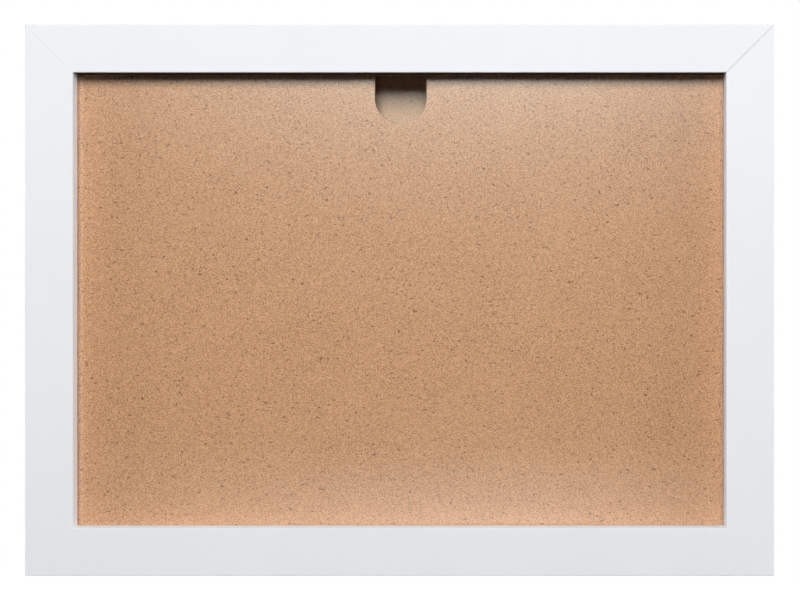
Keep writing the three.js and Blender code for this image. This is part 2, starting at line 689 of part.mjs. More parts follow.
/** One butt hinge: a leaf on the door, a leaf on the box, their screws and the pin. */
function hinge(height) {
  const group = new THREE.Group();
  const leaves = [
    { name: "door", side: -1, own: [-knuckleStep, knuckleStep], other: [0] },
    { name: "box", side: 1, own: [0], other: [-knuckleStep, knuckleStep] },
  ];
  leaves.forEach(({ name, side, own, other }) => {
    const stem = `${height.name}_hinge_${name}`;
    group.add(piece(`${stem}_leaf`, hingeLeaf(side, own, other), FINISHES.brassPlate));
    [-1, 1].forEach((sign, index) => {
      const screw = leafScrewAt(side, sign, 0);
      group.add(piece(`${stem}_screw_${index + 1}`, screw, FINISHES.brassPlate));
    });
  });
  const pin = axisBar(HINGE_PIN_RADIUS, HINGE_LENGTH, 0);
  group.add(piece(`${height.name}_hinge_pin`, pin, FINISHES.zincSteel));
  group.position.set(-boxWidth / 2 - axisBeyondBox, boxFront - DOOR_GAP / 2, height.sign * hingeZ);
  return group;
}

/** The door, drawn from its front face. */
function door() {
  const group = new THREE.Group();
  group.add(...SIDES.map(doorRail), glazing(), backingBoard());
  group.add(...CORNERS.map(cornerNail), ...CORNERS.map(turnButton), ...HEIGHTS.map(doorMagnet));
  group.position.y = doorFront;
  return group;
}

/** The storage box with its hangers, drawn from its front edge. */
function storageBox() {
  const group = new THREE.Group();
  group.add(...SIDES.map(boxWall), backPanel(), ...HEIGHTS.map(keeper));
  panelNailPlaces().forEach(({ name, x, z }) => {
    const nail = piece(`panel_pin_${name}`, panelNail(0), FINISHES.zincSteel);
    nail.position.set(x, boxDepth, z);
    group.add(nail);
  });
  group.add(...hangerPlaces().map(hanger), ...CORNERS.map(bumper));
  group.position.y = boxFront;
  return group;
}

const artFrame = new THREE.Group();
artFrame.add(door(), storageBox(), ...HEIGHTS.map(hinge));

export default artFrame;
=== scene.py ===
"""Looks of a children's art frame: a hinged picture frame that closes a shallow storage box.

Metres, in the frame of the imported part: X to the right, Y from the front towards the wall, Z up.
The wall plane is y = 0, and the outline is centred on x = 0 and z = 0.
"""

import logging
import math
from dataclasses import dataclass, field
from enum import Enum
from functools import cached_property, reduce
from typing import Any, Iterable, Mapping, Sequence

import bmesh
import bpy
from mathutils import Matrix, Vector

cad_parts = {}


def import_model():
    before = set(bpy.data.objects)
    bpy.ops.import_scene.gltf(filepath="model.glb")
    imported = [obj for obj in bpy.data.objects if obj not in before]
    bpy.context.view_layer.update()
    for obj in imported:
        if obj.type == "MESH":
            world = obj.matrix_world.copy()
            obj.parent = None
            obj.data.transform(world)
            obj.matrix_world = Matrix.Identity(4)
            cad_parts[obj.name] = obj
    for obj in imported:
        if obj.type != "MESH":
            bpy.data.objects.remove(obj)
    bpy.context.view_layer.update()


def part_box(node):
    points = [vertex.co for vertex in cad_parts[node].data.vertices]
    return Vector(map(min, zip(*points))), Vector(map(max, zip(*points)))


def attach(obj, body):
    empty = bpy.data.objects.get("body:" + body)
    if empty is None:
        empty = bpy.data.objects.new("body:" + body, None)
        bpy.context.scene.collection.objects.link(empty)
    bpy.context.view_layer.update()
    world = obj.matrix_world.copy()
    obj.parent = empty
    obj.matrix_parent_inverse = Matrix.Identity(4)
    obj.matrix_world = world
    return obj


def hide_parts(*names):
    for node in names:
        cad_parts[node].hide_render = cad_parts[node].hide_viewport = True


LOG = logging.getLogger("art_frame")
MM = 0.001
ROUND_STEPS = 48
SMALL_ROUND_STEPS = 32
ARC_STEPS = 6
EASE_STEPS = 2
SMOOTH_ANGLE = math.radians(30)
WELD = 0.0001 * MM
OVERRUN = 1 * MM  # by which a cutter passes the face that it opens
POINT_LENGTH = 2  # of a nail's or a screw's point, in radii of its shank

BACKWARDS = Vector((0, 1, 0))
FORWARDS = Vector((0, -1, 0))
UPWARDS = Vector((0, 0, 1))
# A place that draws in X and Z, and pushes along Y.
FRONT_VIEW = Matrix(((1, 0, 0, 0), (0, 0, 1, 0), (0, 1, 0, 0), (0, 0, 0, 1)))

Colour = tuple[float, float, float]
Place = tuple[float, float, float]
Range = tuple[float, float]
Profile = list[tuple[float, float]]  # radius and height, point by point
RoundCorner = tuple[float, float, float]  # two coordinates and a radius

WHITE: Colour = (1.0, 1.0, 1.0)
BLACK: Colour = (0.0, 0.0, 0.0)
COOL: Colour = (0.85, 0.92, 1.0)
FULL: Range = (0.0, 1.0)


class Named(Enum):
    """An option whose name is a word in the names of the part's nodes."""

    @property
    def word(self) -> str:
        """The option's word in the part's nodes."""
        return self.name.lower()


class Rim(Named):
    """A place on the rim of the rectangle seen from the front, with its signs in X and Z."""

    @property
    def outward(self) -> Vector:
        """The way out of the frame, one unit long in X, in Z or in each of them."""
        return Vector((self.value[0], 0, self.value[1]))


class Side(Rim):
    """A side of the rectangle."""

    TOP = (0, 1)
    RIGHT = (1, 0)
    BOTTOM = (0, -1)
    LEFT = (-1, 0)

    @property
    def level(self) -> bool:
        """True for the two sides that run along X."""
        return self.value[0] == 0

    @property
    def along(self) -> Vector:
        """The unit vector along this side."""
        return Vector((self.value[1], 0, -self.value[0]))


class Corner(Rim):
    """A corner of the rectangle."""

    TOP_RIGHT = (1, 1)
    BOTTOM_RIGHT = (1, -1)
    BOTTOM_LEFT = (-1, -1)
    TOP_LEFT = (-1, 1)

    def ends(self, side: Side) -> bool:
        """True if this corner is at an end of the side."""
        return self.outward.dot(side.outward) > 0


class Height(Named):
    """The upper or the lower of two like pieces, with its sign in Z."""

    UPPER = 1
    LOWER = -1


class Slot(Enum):
    """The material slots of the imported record."""

    WHITE_PAINT = "white_paint"
    FIBREBOARD = "fibreboard"
    CLEAR_ACRYLIC = "clear_acrylic"
    ZINC_STEEL = "zinc_steel"
    BRASS_PLATE = "brass_plate"
    NICKEL = "nickel"
    GREY_RUBBER = "grey_rubber"


class Body(Enum):
    """The bodies that the pieces move with. Each turn button is a body of its own name."""

    DOOR = "door"
    BOX = "box"


class Cut(Enum):
    """What a boolean step does with the second mesh."""

    TAKE_AWAY = "DIFFERENCE"
    JOIN = "UNION"


class NodeSheet:
    """A node tree, with short calls for the nodes that the finishes and the stage share."""

    def __init__(self, tree: bpy.types.NodeTree) -> None:
        """Takes over a tree.

        Args:
            tree: A material's or a world's node tree.
        """
        self.tree = tree

    @cached_property
    def shader(self) -> bpy.types.Node:
        """The material's Principled shader."""
        return self.tree.nodes["Principled BSDF"]

    @cached_property
    def place(self) -> bpy.types.Node:
        """The texture coordinates."""
        return self.add("TexCoord")

    @cached_property
    def seen(self) -> bpy.types.NodeSocket:
        """1 for a ray that shows the background: from the camera, in a reflection or through glass."""
        return self.rays("Camera", "Glossy", "Transmission")

    def add(self, kind: str, settings: Mapping[str, Any] | None = None, **inputs: Any) -> bpy.types.Node:
        """Adds one node.

        Args:
            kind: The node's type without its ShaderNode prefix.
            settings: The node's own properties.
            **inputs: Values or sockets for its inputs, with underscores for spaces.

        Returns:
            The new node.
        """
        node = self.tree.nodes.new(f"ShaderNode{kind}")
        for key, value in (settings or {}).items():
            setattr(node, key, value)
        for key, value in inputs.items():
            self.feed(node.inputs[key.replace("_", " ")], value)
        return node

    def feed(self, socket: bpy.types.NodeSocket, value: Any) -> None:
        """Links a socket to an input, or sets the input's own value.

        Args:
            socket: The input.
            value: A socket, a number or a colour.
        """
        if isinstance(value, bpy.types.NodeSocket):
            self.tree.links.new(value, socket)
        elif isinstance(value, tuple) and len(socket.default_value) == len(value) + 1:
            socket.default_value = (*value, 1.0)
        else:
            socket.default_value = value

    def set(self, **inputs: Any) -> None:
        """Feeds the Principled shader's inputs, named with underscores for spaces."""
        for key, value in inputs.items():
            self.feed(self.shader.inputs[key.replace("_", " ")], value)

    def show(
        self, share: Any, first: bpy.types.NodeSocket, second: bpy.types.NodeSocket, output: str
    ) -> None:
        """Puts a mix of two shaders on the surface.

        Args:
            share: How much of the second shader shows, from 0 to 1.
            first: The first shader.
            second: The second shader.
            output: The name of the tree's output node.
        """
        mixed = self.add("MixShader", Fac=share)
        self.feed(mixed.inputs[1], first)
        self.feed(mixed.inputs[2], second)
        self.feed(self.tree.nodes[output].inputs["Surface"], mixed.outputs["Shader"])

    def noise(
        self,
        size: float,
        detail: float = 2.0,
        roughness: float = 0.5,
        length: float = 1.0,
        height: float = 1.0,
        turn: float = 0.0,
        offset: float = 0.0,
    ) -> bpy.types.NodeSocket:
        """A noise of about even grey.

        Args:
            size: The width of its coarsest features, in metres.
            detail: How many finer layers it has.
            roughness: How strong the finer layers are.
            length: How much longer the features are along X.
            height: How much longer they are along Z.
            turn: A turn of the pattern about Y, in radians.
            offset: A shift of the pattern, in features, that makes two noises differ.

        Returns:
            The noise's value, from 0 to 1.
        """
        turned = self.add("Mapping", Vector=self.place.outputs["Object"], Rotation=(0.0, turn, 0.0))
        scaled = self.add(
            "Mapping",
            Vector=turned.outputs["Vector"],
            Location=(offset, offset, offset),
            Scale=(1.0 / (size * length), 1.0 / size, 1.0 / (size * height)),
        )
        texture = self.add(
            "TexNoise", Vector=scaled.outputs["Vector"], Scale=1.0, Detail=detail, Roughness=roughness
        )
        return texture.outputs["Fac"]

    def span(self, value: Any, limits: Range, to: Range = FULL) -> bpy.types.NodeSocket:
        """A value moved from one range to another, and kept inside it.

        Args:
            value: The socket to read.
            limits: The two values that become the ends of the new range.
            to: The new range.

        Returns:
            The result's socket.
        """
        (low, high), (to_low, to_high) = limits, to
        node = self.add(
            "MapRange", Value=value, From_Min=low, From_Max=high, To_Min=to_low, To_Max=to_high
        )
        return node.outputs["Result"]

    def math(self, operation: str, first: Any, second: Any = 0.0) -> bpy.types.NodeSocket:
        """One step of arithmetic.

        Args:
            operation: The Math node's operation.
            first: Its first value or socket.
            second: Its second value or socket.

        Returns:
            The result's socket.
        """
        node = self.add("Math", {"operation": operation})
        self.feed(node.inputs[0], first)
        self.feed(node.inputs[1], second)
        return node.outputs[0]

    def largest(self, *values: Any) -> bpy.types.NodeSocket:
        """The largest of some values."""
        return reduce(lambda first, second: self.math("MAXIMUM", first, second), values)

    def product(self, *values: Any) -> bpy.types.NodeSocket:
        """The product of some values."""
        return reduce(lambda first, second: self.math("MULTIPLY", first, second), values)

    def rays(self, *kinds: str) -> bpy.types.NodeSocket:
        """1 for a ray of one of the kinds that the Light Path node names, and 0 for another."""
        path = self.add("LightPath").outputs
        return self.largest(*(path[f"Is {kind} Ray"] for kind in kinds))

    def blend(self, share: Any, first: Any, second: Any) -> bpy.types.NodeSocket:
        """A mix of two colours.

        Args:
            share: How much of the second colour shows, from 0 to 1.
            first: The first colour or socket.
            second: The second colour or socket.

        Returns:
            The mixed colour's socket.
        """
        node = self.add("Mix", {"data_type": "RGBA"})
        colours = [socket for socket in node.inputs if socket.type == "RGBA"]
        self.feed(node.inputs["Factor"], share)
        self.feed(colours[0], first)
        self.feed(colours[1], second)
        return next(socket for socket in node.outputs if socket.type == "RGBA")

    def bump(self, height: Any, depth: float) -> None:
        """Roughens the surface.

        Args:
            height: The socket that gives the height, from 0 to 1.
            depth: The height's full range, in metres.
        """
        node = self.add("Bump", Height=height, Distance=depth)
        self.set(Normal=node.outputs["Normal"])


@dataclass(frozen=True)
class Finish:
    """A surface finish, and the record's slot that it stands for."""

    name: str
    slot: Slot

    def material(self) -> bpy.types.Material:
        """The finish as a material, which is made once.

        Returns:
            The material.
        """
        made = bpy.data.materials.get(self.name)
        if made is None:
            made = bpy.data.materials.new(self.name)
            made.use_nodes = True
            self.draw(NodeSheet(made.node_tree))
        return made

    def draw(self, sheet: NodeSheet) -> None:
        """Writes the finish's nodes.

        Args:
            sheet: The node tree to write to.
        """
        raise NotImplementedError


@dataclass(frozen=True)
class SatinLacquer(Finish):
    """Sprayed satin paint: a fine orange peel, faint clouds of tone and uneven gloss."""

    tone: Colour = (0.88, 0.884, 0.897)
    cloud_tone: Colour = (0.864, 0.868, 0.885)
    cloud_size: float = 60 * MM
    cloud_limits: Range = (0.35, 0.7)
    peel_size: float = 1.4 * MM
    peel_depth: float = 0.008 * MM
    gloss_size: float = 9 * MM
    gloss_limits: Range = (0.3, 0.7)
    roughness: Range = (0.58, 0.68)
    shine: float = 0.5

    def draw(self, sheet: NodeSheet) -> None:
        """Writes the lacquer's nodes.

        Args:
            sheet: The node tree to write to.
        """
        clouds = sheet.span(sheet.noise(self.cloud_size, detail=3), self.cloud_limits)
        gloss = sheet.noise(self.gloss_size, detail=4, roughness=0.6)
        sheet.set(
            Base_Color=sheet.blend(clouds, self.tone, self.cloud_tone),
            Roughness=sheet.span(gloss, self.gloss_limits, self.roughness),
            Specular_IOR_Level=self.shine,
        )
        sheet.bump(sheet.noise(self.peel_size), self.peel_depth)


@dataclass(frozen=True)
class RawFibreboard(Finish):
    """Pressed wood fibre: a smooth face with dark flecks, dark cut edges and a rough dark reverse.

    A size is a feature's width, and a length is its length in widths. The limits are values of the
    feature's noise, between which its share of the tone goes from one number to the other.
    """

    pale: Colour = (0.925, 0.521, 0.283)
    mid: Colour = (0.716, 0.379, 0.194)
    dark: Colour = (0.481, 0.226, 0.097)
    fleck: Colour = (0.15, 0.07, 0.034)
    cut_edge: Colour = (0.22, 0.118, 0.062)
    reverse: Colour = (0.3, 0.158, 0.08)
    reverse_dark: Colour = (0.2, 0.098, 0.047)
    fibre_size: float = 0.54 * MM
    fibre_length: float = 1.15
    fibre_limits: Range = (0.38, 0.62)
    fibre_depth: float = 0.002 * MM
    tuft_size: float = 2.6 * MM
    tuft_limits: Range = (0.25, 0.75)
    tuft_share: Range = (0.45, 0.05)
    strand_size: float = 0.32 * MM
    strand_length: float = 9.0
    strand_turns: Range = (0.6, -0.9)  # of the two layers of strands, in radians
    strand_limits: Range = (0.62, 0.74)
    strand_share: Range = (0.0, 0.5)
    cloud_size: float = 26 * MM
    cloud_limits: Range = (0.3, 0.7)
    cloud_share: Range = (0.0, 0.14)
    fleck_size: float = 1.1 * MM
    fleck_length: float = 1.5
    fleck_limits: Range = (0.68, 0.75)
    fleck_share: Range = (0.0, 0.76)
    speck_size: float = 0.62 * MM
    speck_length: float = 1.2
    speck_limits: Range = (0.73, 0.8)
    speck_share: Range = (0.0, 0.58)
    weave_size: float = 1.3 * MM
    weave_limits: Range = (0.35, 0.65)
    weave_depth: float = 0.05 * MM
    face_limits: Range = (0.55, 0.85)  # of the normal along Y, from a cut edge to a face
    roughness: Range = (0.22, 0.7)  # of the face, and of the reverse and the cut edges
    refraction: float = 1.62
    sheen: float = 1.0
    sheen_tint: Colour = (0.72, 0.85, 0.86)

    def draw(self, sheet: NodeSheet) -> None:
        """Writes the fibreboard's nodes.

        Args:
            sheet: The node tree to write to.
        """
        fibres = sheet.noise(self.fibre_size, detail=1, roughness=0.4, length=self.fibre_length)
        tufts = sheet.noise(self.tuft_size, roughness=0.6, offset=3.0)
        clouds = sheet.noise(self.cloud_size, offset=7.0)
        flecks = sheet.noise(
            self.fleck_size, detail=1, roughness=0.4, length=self.fleck_length, offset=11.0
        )
        specks = sheet.noise(self.speck_size, detail=0, length=self.speck_length, offset=23.0)
        tone = sheet.blend(sheet.span(fibres, self.fibre_limits), self.dark, self.pale)
        tone = sheet.blend(sheet.span(tufts, self.tuft_limits, self.tuft_share), tone, self.mid)
        for turn in self.strand_turns:
            strands = sheet.noise(
                self.strand_size, detail=1, length=self.strand_length, turn=turn, offset=17.0
            )
            tone = sheet.blend(sheet.span(strands, self.strand_limits, self.strand_share), tone, self.pale)
        tone = sheet.blend(sheet.span(clouds, self.cloud_limits, self.cloud_share), tone, self.pale)
        tone = sheet.blend(sheet.span(flecks, self.fleck_limits, self.fleck_share), tone, self.fleck)
        tone = sheet.blend(sheet.span(specks, self.speck_limits, self.speck_share), tone, self.fleck)
        facing_depth = sheet.add("SeparateXYZ", Vector=sheet.place.outputs["Normal"]).outputs["Y"]
        behind = sheet.span(facing_depth, self.face_limits)
        weave = sheet.noise(self.weave_size, roughness=0.6, offset=29.0)
        reverse = sheet.blend(sheet.span(weave, self.weave_limits), self.reverse, self.reverse_dark)
        tone = sheet.blend(behind, tone, reverse)
        cut = sheet.span(sheet.math("ABSOLUTE", facing_depth), self.face_limits, (1.0, 0.0))
        sheet.set(
            Base_Color=sheet.blend(cut, tone, self.cut_edge),
            Roughness=sheet.span(sheet.largest(behind, cut), FULL, self.roughness),
            IOR=self.refraction,
            Specular_IOR_Level=self.sheen,
            Specular_Tint=self.sheen_tint,
        )
        rough = sheet.product(behind, weave)
        smooth = sheet.product(fibres, self.fibre_depth / self.weave_depth)
        sheet.bump(sheet.math("ADD", rough, smooth), self.weave_depth)


@dataclass(frozen=True)
class ClearSheet(Finish):
    """Clear acrylic: a hard gloss with the faint waviness of cast sheet. Lamps shine through it."""

    tint: Colour = (0.985, 0.99, 0.99)
    lamp_share: Colour = (0.975, 0.975, 0.975)
    refraction: float = 1.49
    roughness: float = 0.02
    wave_size: float = 45 * MM
    wave_length: float = 0.4
    wave_height: float = 1.6
    wave_depth: float = 0.02 * MM

    def draw(self, sheet: NodeSheet) -> None:
        """Writes the sheet's nodes, with a clear way for rays that look for a lamp.

        Args:
            sheet: The node tree to write to.
        """
        sheet.set(
            Base_Color=self.tint, Roughness=self.roughness, IOR=self.refraction, Transmission_Weight=1.0
        )
        waves = sheet.noise(self.wave_size, detail=1, length=self.wave_length, height=self.wave_height)
        sheet.bump(waves, self.wave_depth)
        passing = sheet.rays("Shadow", "Diffuse")
        clear = sheet.add("BsdfTransparent", Color=self.lamp_share)
        sheet.show(passing, sheet.shader.outputs["BSDF"], clear.outputs["BSDF"], "Material Output")


@dataclass(frozen=True)
class PlatedMetal(Finish):
    """Plated sheet metal: uneven gloss, fine rolling marks and a slightly dull bloom."""

    tone: Colour
    bloom: Colour
    roughness: Range
    bloom_size: float = 2.5 * MM
    bloom_limits: Range = (0.35, 0.7)
    mark_size: float = 0.25 * MM
    mark_length: float = 12.0
    mark_depth: float = 0.004 * MM

    def draw(self, sheet: NodeSheet) -> None:
        """Writes the plating's nodes.

        Args:
            sheet: The node tree to write to.
        """
        bloom = sheet.span(sheet.noise(self.bloom_size, detail=4, roughness=0.6), self.bloom_limits)
        sheet.set(
            Base_Color=sheet.blend(bloom, self.tone, self.bloom),
            Metallic=1.0,
            Roughness=sheet.span(bloom, FULL, self.roughness),
        )
        sheet.bump(sheet.noise(self.mark_size, length=self.mark_length), self.mark_depth)


@dataclass(frozen=True)
class SoftRubber(Finish):
    """Matt moulded rubber with a fine grain and a dusty bloom."""

    tone: Colour = (0.3, 0.3, 0.29)
    dust: Colour = (0.4, 0.4, 0.385)
    dust_size: float = 4 * MM
    dust_limits: Range = (0.4, 0.75)
    grain_size: float = 0.35 * MM
    grain_depth: float = 0.02 * MM
    roughness: float = 0.82

    def draw(self, sheet: NodeSheet) -> None:
        """Writes the rubber's nodes.

        Args:
            sheet: The node tree to write to.
        """
        dust = sheet.span(sheet.noise(self.dust_size, detail=4, roughness=0.6), self.dust_limits)
        sheet.set(Base_Color=sheet.blend(dust, self.tone, self.dust), Roughness=self.roughness)
        sheet.bump(sheet.noise(self.grain_size, detail=3), self.grain_depth)


LACQUER = SatinLacquer("satin_white_lacquer", Slot.WHITE_PAINT)
BOARD = RawFibreboard("tan_fibreboard", Slot.FIBREBOARD)
PANEL = RawFibreboard(
    "pale_fibreboard",
    Slot.FIBREBOARD,
    pale=(0.89, 0.613, 0.405),
    mid=(0.8, 0.508, 0.305),
    dark=(0.692, 0.42, 0.242),
    sheen=0.5,
)
OPEN_MITRE = SatinLacquer("open_mitre", Slot.WHITE_PAINT, (0.08, 0.08, 0.083), (0.12, 0.12, 0.123))
CLOSE_MITRE = SatinLacquer("close_mitre", Slot.WHITE_PAINT, (0.66, 0.665, 0.67), (0.76, 0.765, 0.77))
# Painted shade: a nearly black, matt lacquer for the top lip's underside, standing in for its deep shadow.
PAINTED_LIP_SHADE = SatinLacquer(
    "bare_edge", Slot.FIBREBOARD, (0.032, 0.017, 0.009), (0.045, 0.024, 0.013), shine=0.05
)
CLEAR = ClearSheet("clear_cast_acrylic", Slot.CLEAR_ACRYLIC)
ZINC = PlatedMetal("bright_zinc", Slot.ZINC_STEEL, (0.5, 0.51, 0.53), (0.37, 0.385, 0.41), (0.26, 0.42))
BRASS = PlatedMetal("bright_brass", Slot.BRASS_PLATE, (0.72, 0.5, 0.2), (0.6, 0.4, 0.15), (0.2, 0.36))
NICKEL = PlatedMetal("bright_nickel", Slot.NICKEL, (0.68, 0.67, 0.65), (0.6, 0.59, 0.57), (0.12, 0.26))
RUBBER = SoftRubber("moulded_rubber", Slot.GREY_RUBBER)


@dataclass(frozen=True)
class NodeBox:
    """A box in the part's frame, such as the one that a node fills at rest."""

    low: Vector
    high: Vector

    @classmethod
    def of(cls, node: str) -> "NodeBox":
        """The box of one node, by its name."""
        low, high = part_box(node)
        return cls(Vector(low), Vector(high))

    @classmethod
    def named(cls, nodes: Iterable[str]) -> dict[str, "NodeBox"]:
        """The boxes of some nodes, by their names."""
        return {node: cls.of(node) for node in nodes}

    @property
    def centre(self) -> Vector:
        """The box's middle."""
        return (self.low + self.high) / 2

    @property
    def size(self) -> Vector:
        """The box's extent along each axis."""
        return self.high - self.low

    def grown(self, gap: float) -> "NodeBox":
        """The box with a gap added all round."""
        step = Vector((gap, gap, gap))
        return NodeBox(self.low - step, self.high + step)

    def axis(self, direction: Vector) -> Matrix:
        """A place at the middle of the box whose third axis has a direction, with depth 0 at y = 0.

        Args:
            direction: BACKWARDS, FORWARDS or UPWARDS.

        Returns:
            The place.
        """
        return facing(direction, self.centre - direction * self.centre.dot(direction))


def facing(axis: Vector, origin: Vector) -> Matrix:
    """A place whose third axis points along a given axis.

    Args:
        axis: The direction of the third axis.
        origin: The place's origin.

    Returns:
        The place.
    """
    return Matrix.Translation(origin) @ axis.to_track_quat("Z", "Y").to_matrix().to_4x4()


def past(gap: float) -> float:
    """How far a cutter passes the face that it opens. A piece itself has no gap, and ends flush."""
    return OVERRUN if gap else 0.0


def rounded(corners: Sequence[RoundCorner], steps: int = ARC_STEPS) -> list[Vector]:
    """An outline with round corners.

    Args:
        corners: Each corner's two coordinates and its radius, 0 for a sharp one.
        steps: The number of straight pieces in each round corner.

    Returns:
        The outline's points.
    """
    points: list[Vector] = []
    for index, (x, y, radius) in enumerate(corners):
        corner = Vector((x, y))
        if radius == 0:
            points.append(corner)
            continue
        before = (Vector(corners[index - 1][:2]) - corner).normalized()
        after = (Vector(corners[(index + 1) % len(corners)][:2]) - corner).normalized()
        half = before.angle(after) / 2
        centre = corner + (before + after).normalized() * (radius / math.sin(half))
        start = corner + before * (radius / math.tan(half)) - centre
        sweep = math.copysign(math.pi - 2 * half, before.x * after.y - before.y * after.x)
        points += [centre + Matrix.Rotation(-sweep * i / steps, 2) @ start for i in range(steps + 1)]
    return points


def arc(centre: Sequence[float], radius: float, start: float, end: float, steps: int) -> list[Vector]:
    """Points along an arc.

    Args:
        centre: The arc's centre.
        radius: Its radius.
        start: The angle of its first point, in radians.
        end: The angle of its last point.
        steps: The number of straight pieces.

    Returns:
        The points.
    """
    angles = [start + (end - start) * i / steps for i in range(steps + 1)]
    return [Vector((centre[0] + radius * math.cos(a), centre[1] + radius * math.sin(a))) for a in angles]


def dome(radius: float, rim: float, top: float) -> Profile:
    """The profile of a domed head, from its rim to the axis.

    Args:
        radius: The head's radius.
        rim: The rim's height.
        top: The dome's height at the axis.

    Returns:
        Radius and height, point by point.
    """
    angles = [math.pi / 2 * i / ARC_STEPS for i in range(ARC_STEPS)]
    return [(radius * math.cos(a), rim + (top - rim) * math.sin(a)) for a in angles] + [(0.0, top)]


class Shape:
    """A closed mesh in the making, in the part's frame."""

    def __init__(self, mesh: bmesh.types.BMesh) -> None:
        """Takes over a mesh and turns its faces outwards.

        Args:
            mesh: A closed mesh.
        """
        bmesh.ops.recalc_face_normals(mesh, faces=mesh.faces)
        self.mesh = mesh

    @classmethod
    def loft(cls, sections: Sequence[Sequence[Vector]]) -> "Shape":
        """A closed body through like sections.

        Args:
            sections: Rings with the same number of points, from one end to the other.

        Returns:
            The body, with flat ends.
        """
        mesh = bmesh.new()
        rings = [[mesh.verts.new(point) for point in section] for section in sections]
        mesh.faces.new(rings[0])
        mesh.faces.new(rings[-1])
        count = len(rings[0])
        for first, second in zip(rings, rings[1:]):
            for i in range(count):
                j = (i + 1) % count
                mesh.faces.new((first[i], first[j], second[j], second[i]))
        return cls(mesh)

    @classmethod
    def prism(
        cls, outline: Sequence[Sequence[float]], place: Matrix, low: float, high: float, taper: float = 1.0
    ) -> "Shape":
        """An outline pushed along a third axis.

        Args:
            outline: Points in the plane of the place's first two axes.
            place: The axes and origin to draw in.
            low: Where the prism starts along the third axis.
            high: Where it ends.
            taper: The outline's scale at the start.

        Returns:
            The prism.
        """
        ends = ((low, taper), (high, 1.0))
        return cls.loft(
            [[place @ Vector((x * scale, y * scale, level)) for x, y in outline] for level, scale in ends]
        )

    @classmethod
    def block(cls, box: NodeBox) -> "Shape":
        """A box, for cutters and flat sheets.

        Args:
            box: The room that it fills.

        Returns:
            The box.
        """
        low, high = box.low, box.high
        outline = ((low.x, low.z), (high.x, low.z), (high.x, high.z), (low.x, high.z))
        return cls.prism(outline, FRONT_VIEW, low.y, high.y)

    @classmethod
    def turned(cls, profile: Profile, place: Matrix, steps: int = ROUND_STEPS) -> "Shape":
        """A turned piece about the place's third axis.

        Args:
            profile: Its radius and height, point by point, from axis to axis.
            place: The axes and origin to draw in.
            steps: The number of facets round it.

        Returns:
            The turned piece.
        """
        mesh = bmesh.new()
        rings: list[list[bmesh.types.BMVert]] = []
        for radius, height in profile:
            count = 1 if radius == 0 else steps
            angles = [2 * math.pi * i / steps for i in range(count)]
            points = [Vector((radius * math.cos(a), radius * math.sin(a), height)) for a in angles]
            rings.append([mesh.verts.new(place @ point) for point in points])
        for first, second in zip(rings, rings[1:]):
            for i in range(steps):
                j = (i + 1) % steps
                corners = [first[i % len(first)], first[j % len(first)]]
                corners += [second[j % len(second)], second[i % len(second)]]
                mesh.faces.new(list(dict.fromkeys(corners)))
        return cls(mesh)

    @classmethod
    def rod(cls, place: Matrix, radius: float, low: float, high: float) -> "Shape":
        """A round bar about the place's third axis, for discs and cutters."""
        return cls.turned([(0, low), (radius, low), (radius, high), (0, high)], place)

    def merged(self, others: Iterable["Shape"], how: Cut) -> "Shape":
        """This shape after boolean steps with others.

        Args:
            others: The shapes to join or to take away.
            how: What each step does.

        Returns:
            The result, as a new shape.
        """
        base = self.temporary("base")
        tools = [other.temporary("tool") for other in others]
        for tool in tools:
            step = base.modifiers.new("step", "BOOLEAN")
            step.operation = how.value
            step.solver = "EXACT"
            step.object = tool
        graph = bpy.context.evaluated_depsgraph_get()
        result = bmesh.new()
        result.from_mesh(base.evaluated_get(graph).to_mesh())
        bmesh.ops.remove_doubles(result, verts=result.verts, dist=WELD)
        for used in (base, *tools):
            data = used.data
            bpy.data.objects.remove(used)
            bpy.data.meshes.remove(data)
        return Shape(result)

    def without(self, cutters: Iterable["Shape"]) -> "Shape":
        """This shape with the cutters taken out of it."""
        return self.merged(cutters, Cut.TAKE_AWAY)

    def joined(self, others: Iterable["Shape"]) -> "Shape":
        """This shape joined with others."""
        return self.merged(others, Cut.JOIN)

    def temporary(self, name: str) -> bpy.types.Object:
        """The shape as an object of the scene.

        Args:
            name: The object's name, and its mesh's.

        Returns:
            The object.
        """
        data = bpy.data.meshes.new(name)
        self.mesh.to_mesh(data)
        made = bpy.data.objects.new(name, data)
        bpy.context.scene.collection.objects.link(made)
        return made


@dataclass(frozen=True)
class Dressing:
    """How a shape joins the part: its body, its finish and how its sharp edges are eased."""

    body: str
    finish: Finish
    ease: float = 0.0

    def add(self, name: str, shape: Shape) -> bpy.types.Object:
        """Makes a shape a piece of the part.

        Args:
            name: The piece's name.
            shape: Its mesh, in the part's frame.

        Returns:
            The piece.
        """
        made = shape.temporary(name)
        made.data.shade_smooth()
        made.data.set_sharp_from_angle(angle=SMOOTH_ANGLE)
        made.data.materials.append(self.finish.material())
        if self.ease:
            bevel = made.modifiers.new("eased_edges", "BEVEL")
            bevel.width = self.ease
            bevel.segments = EASE_STEPS
            bevel.limit_method = "ANGLE"
            bevel.angle_limit = SMOOTH_ANGLE
            bevel.harden_normals = True
        else:
            level = made.modifiers.new("level_faces", "WEIGHTED_NORMAL")
            level.keep_sharp = True
        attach(made, self.body)
        LOG.info("%s: %s, on %s", name, self.finish.name, self.body)
        return made

    def replace(self, node: str, shape: Shape) -> bpy.types.Object:
        """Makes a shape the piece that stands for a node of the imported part.

        Args:
            node: The node's name.
            shape: The piece's mesh, in the part's frame.

        Returns:
            The piece.
        """
        made = self.add(f"dressed_{node}", shape)
        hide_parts(node)
        return made


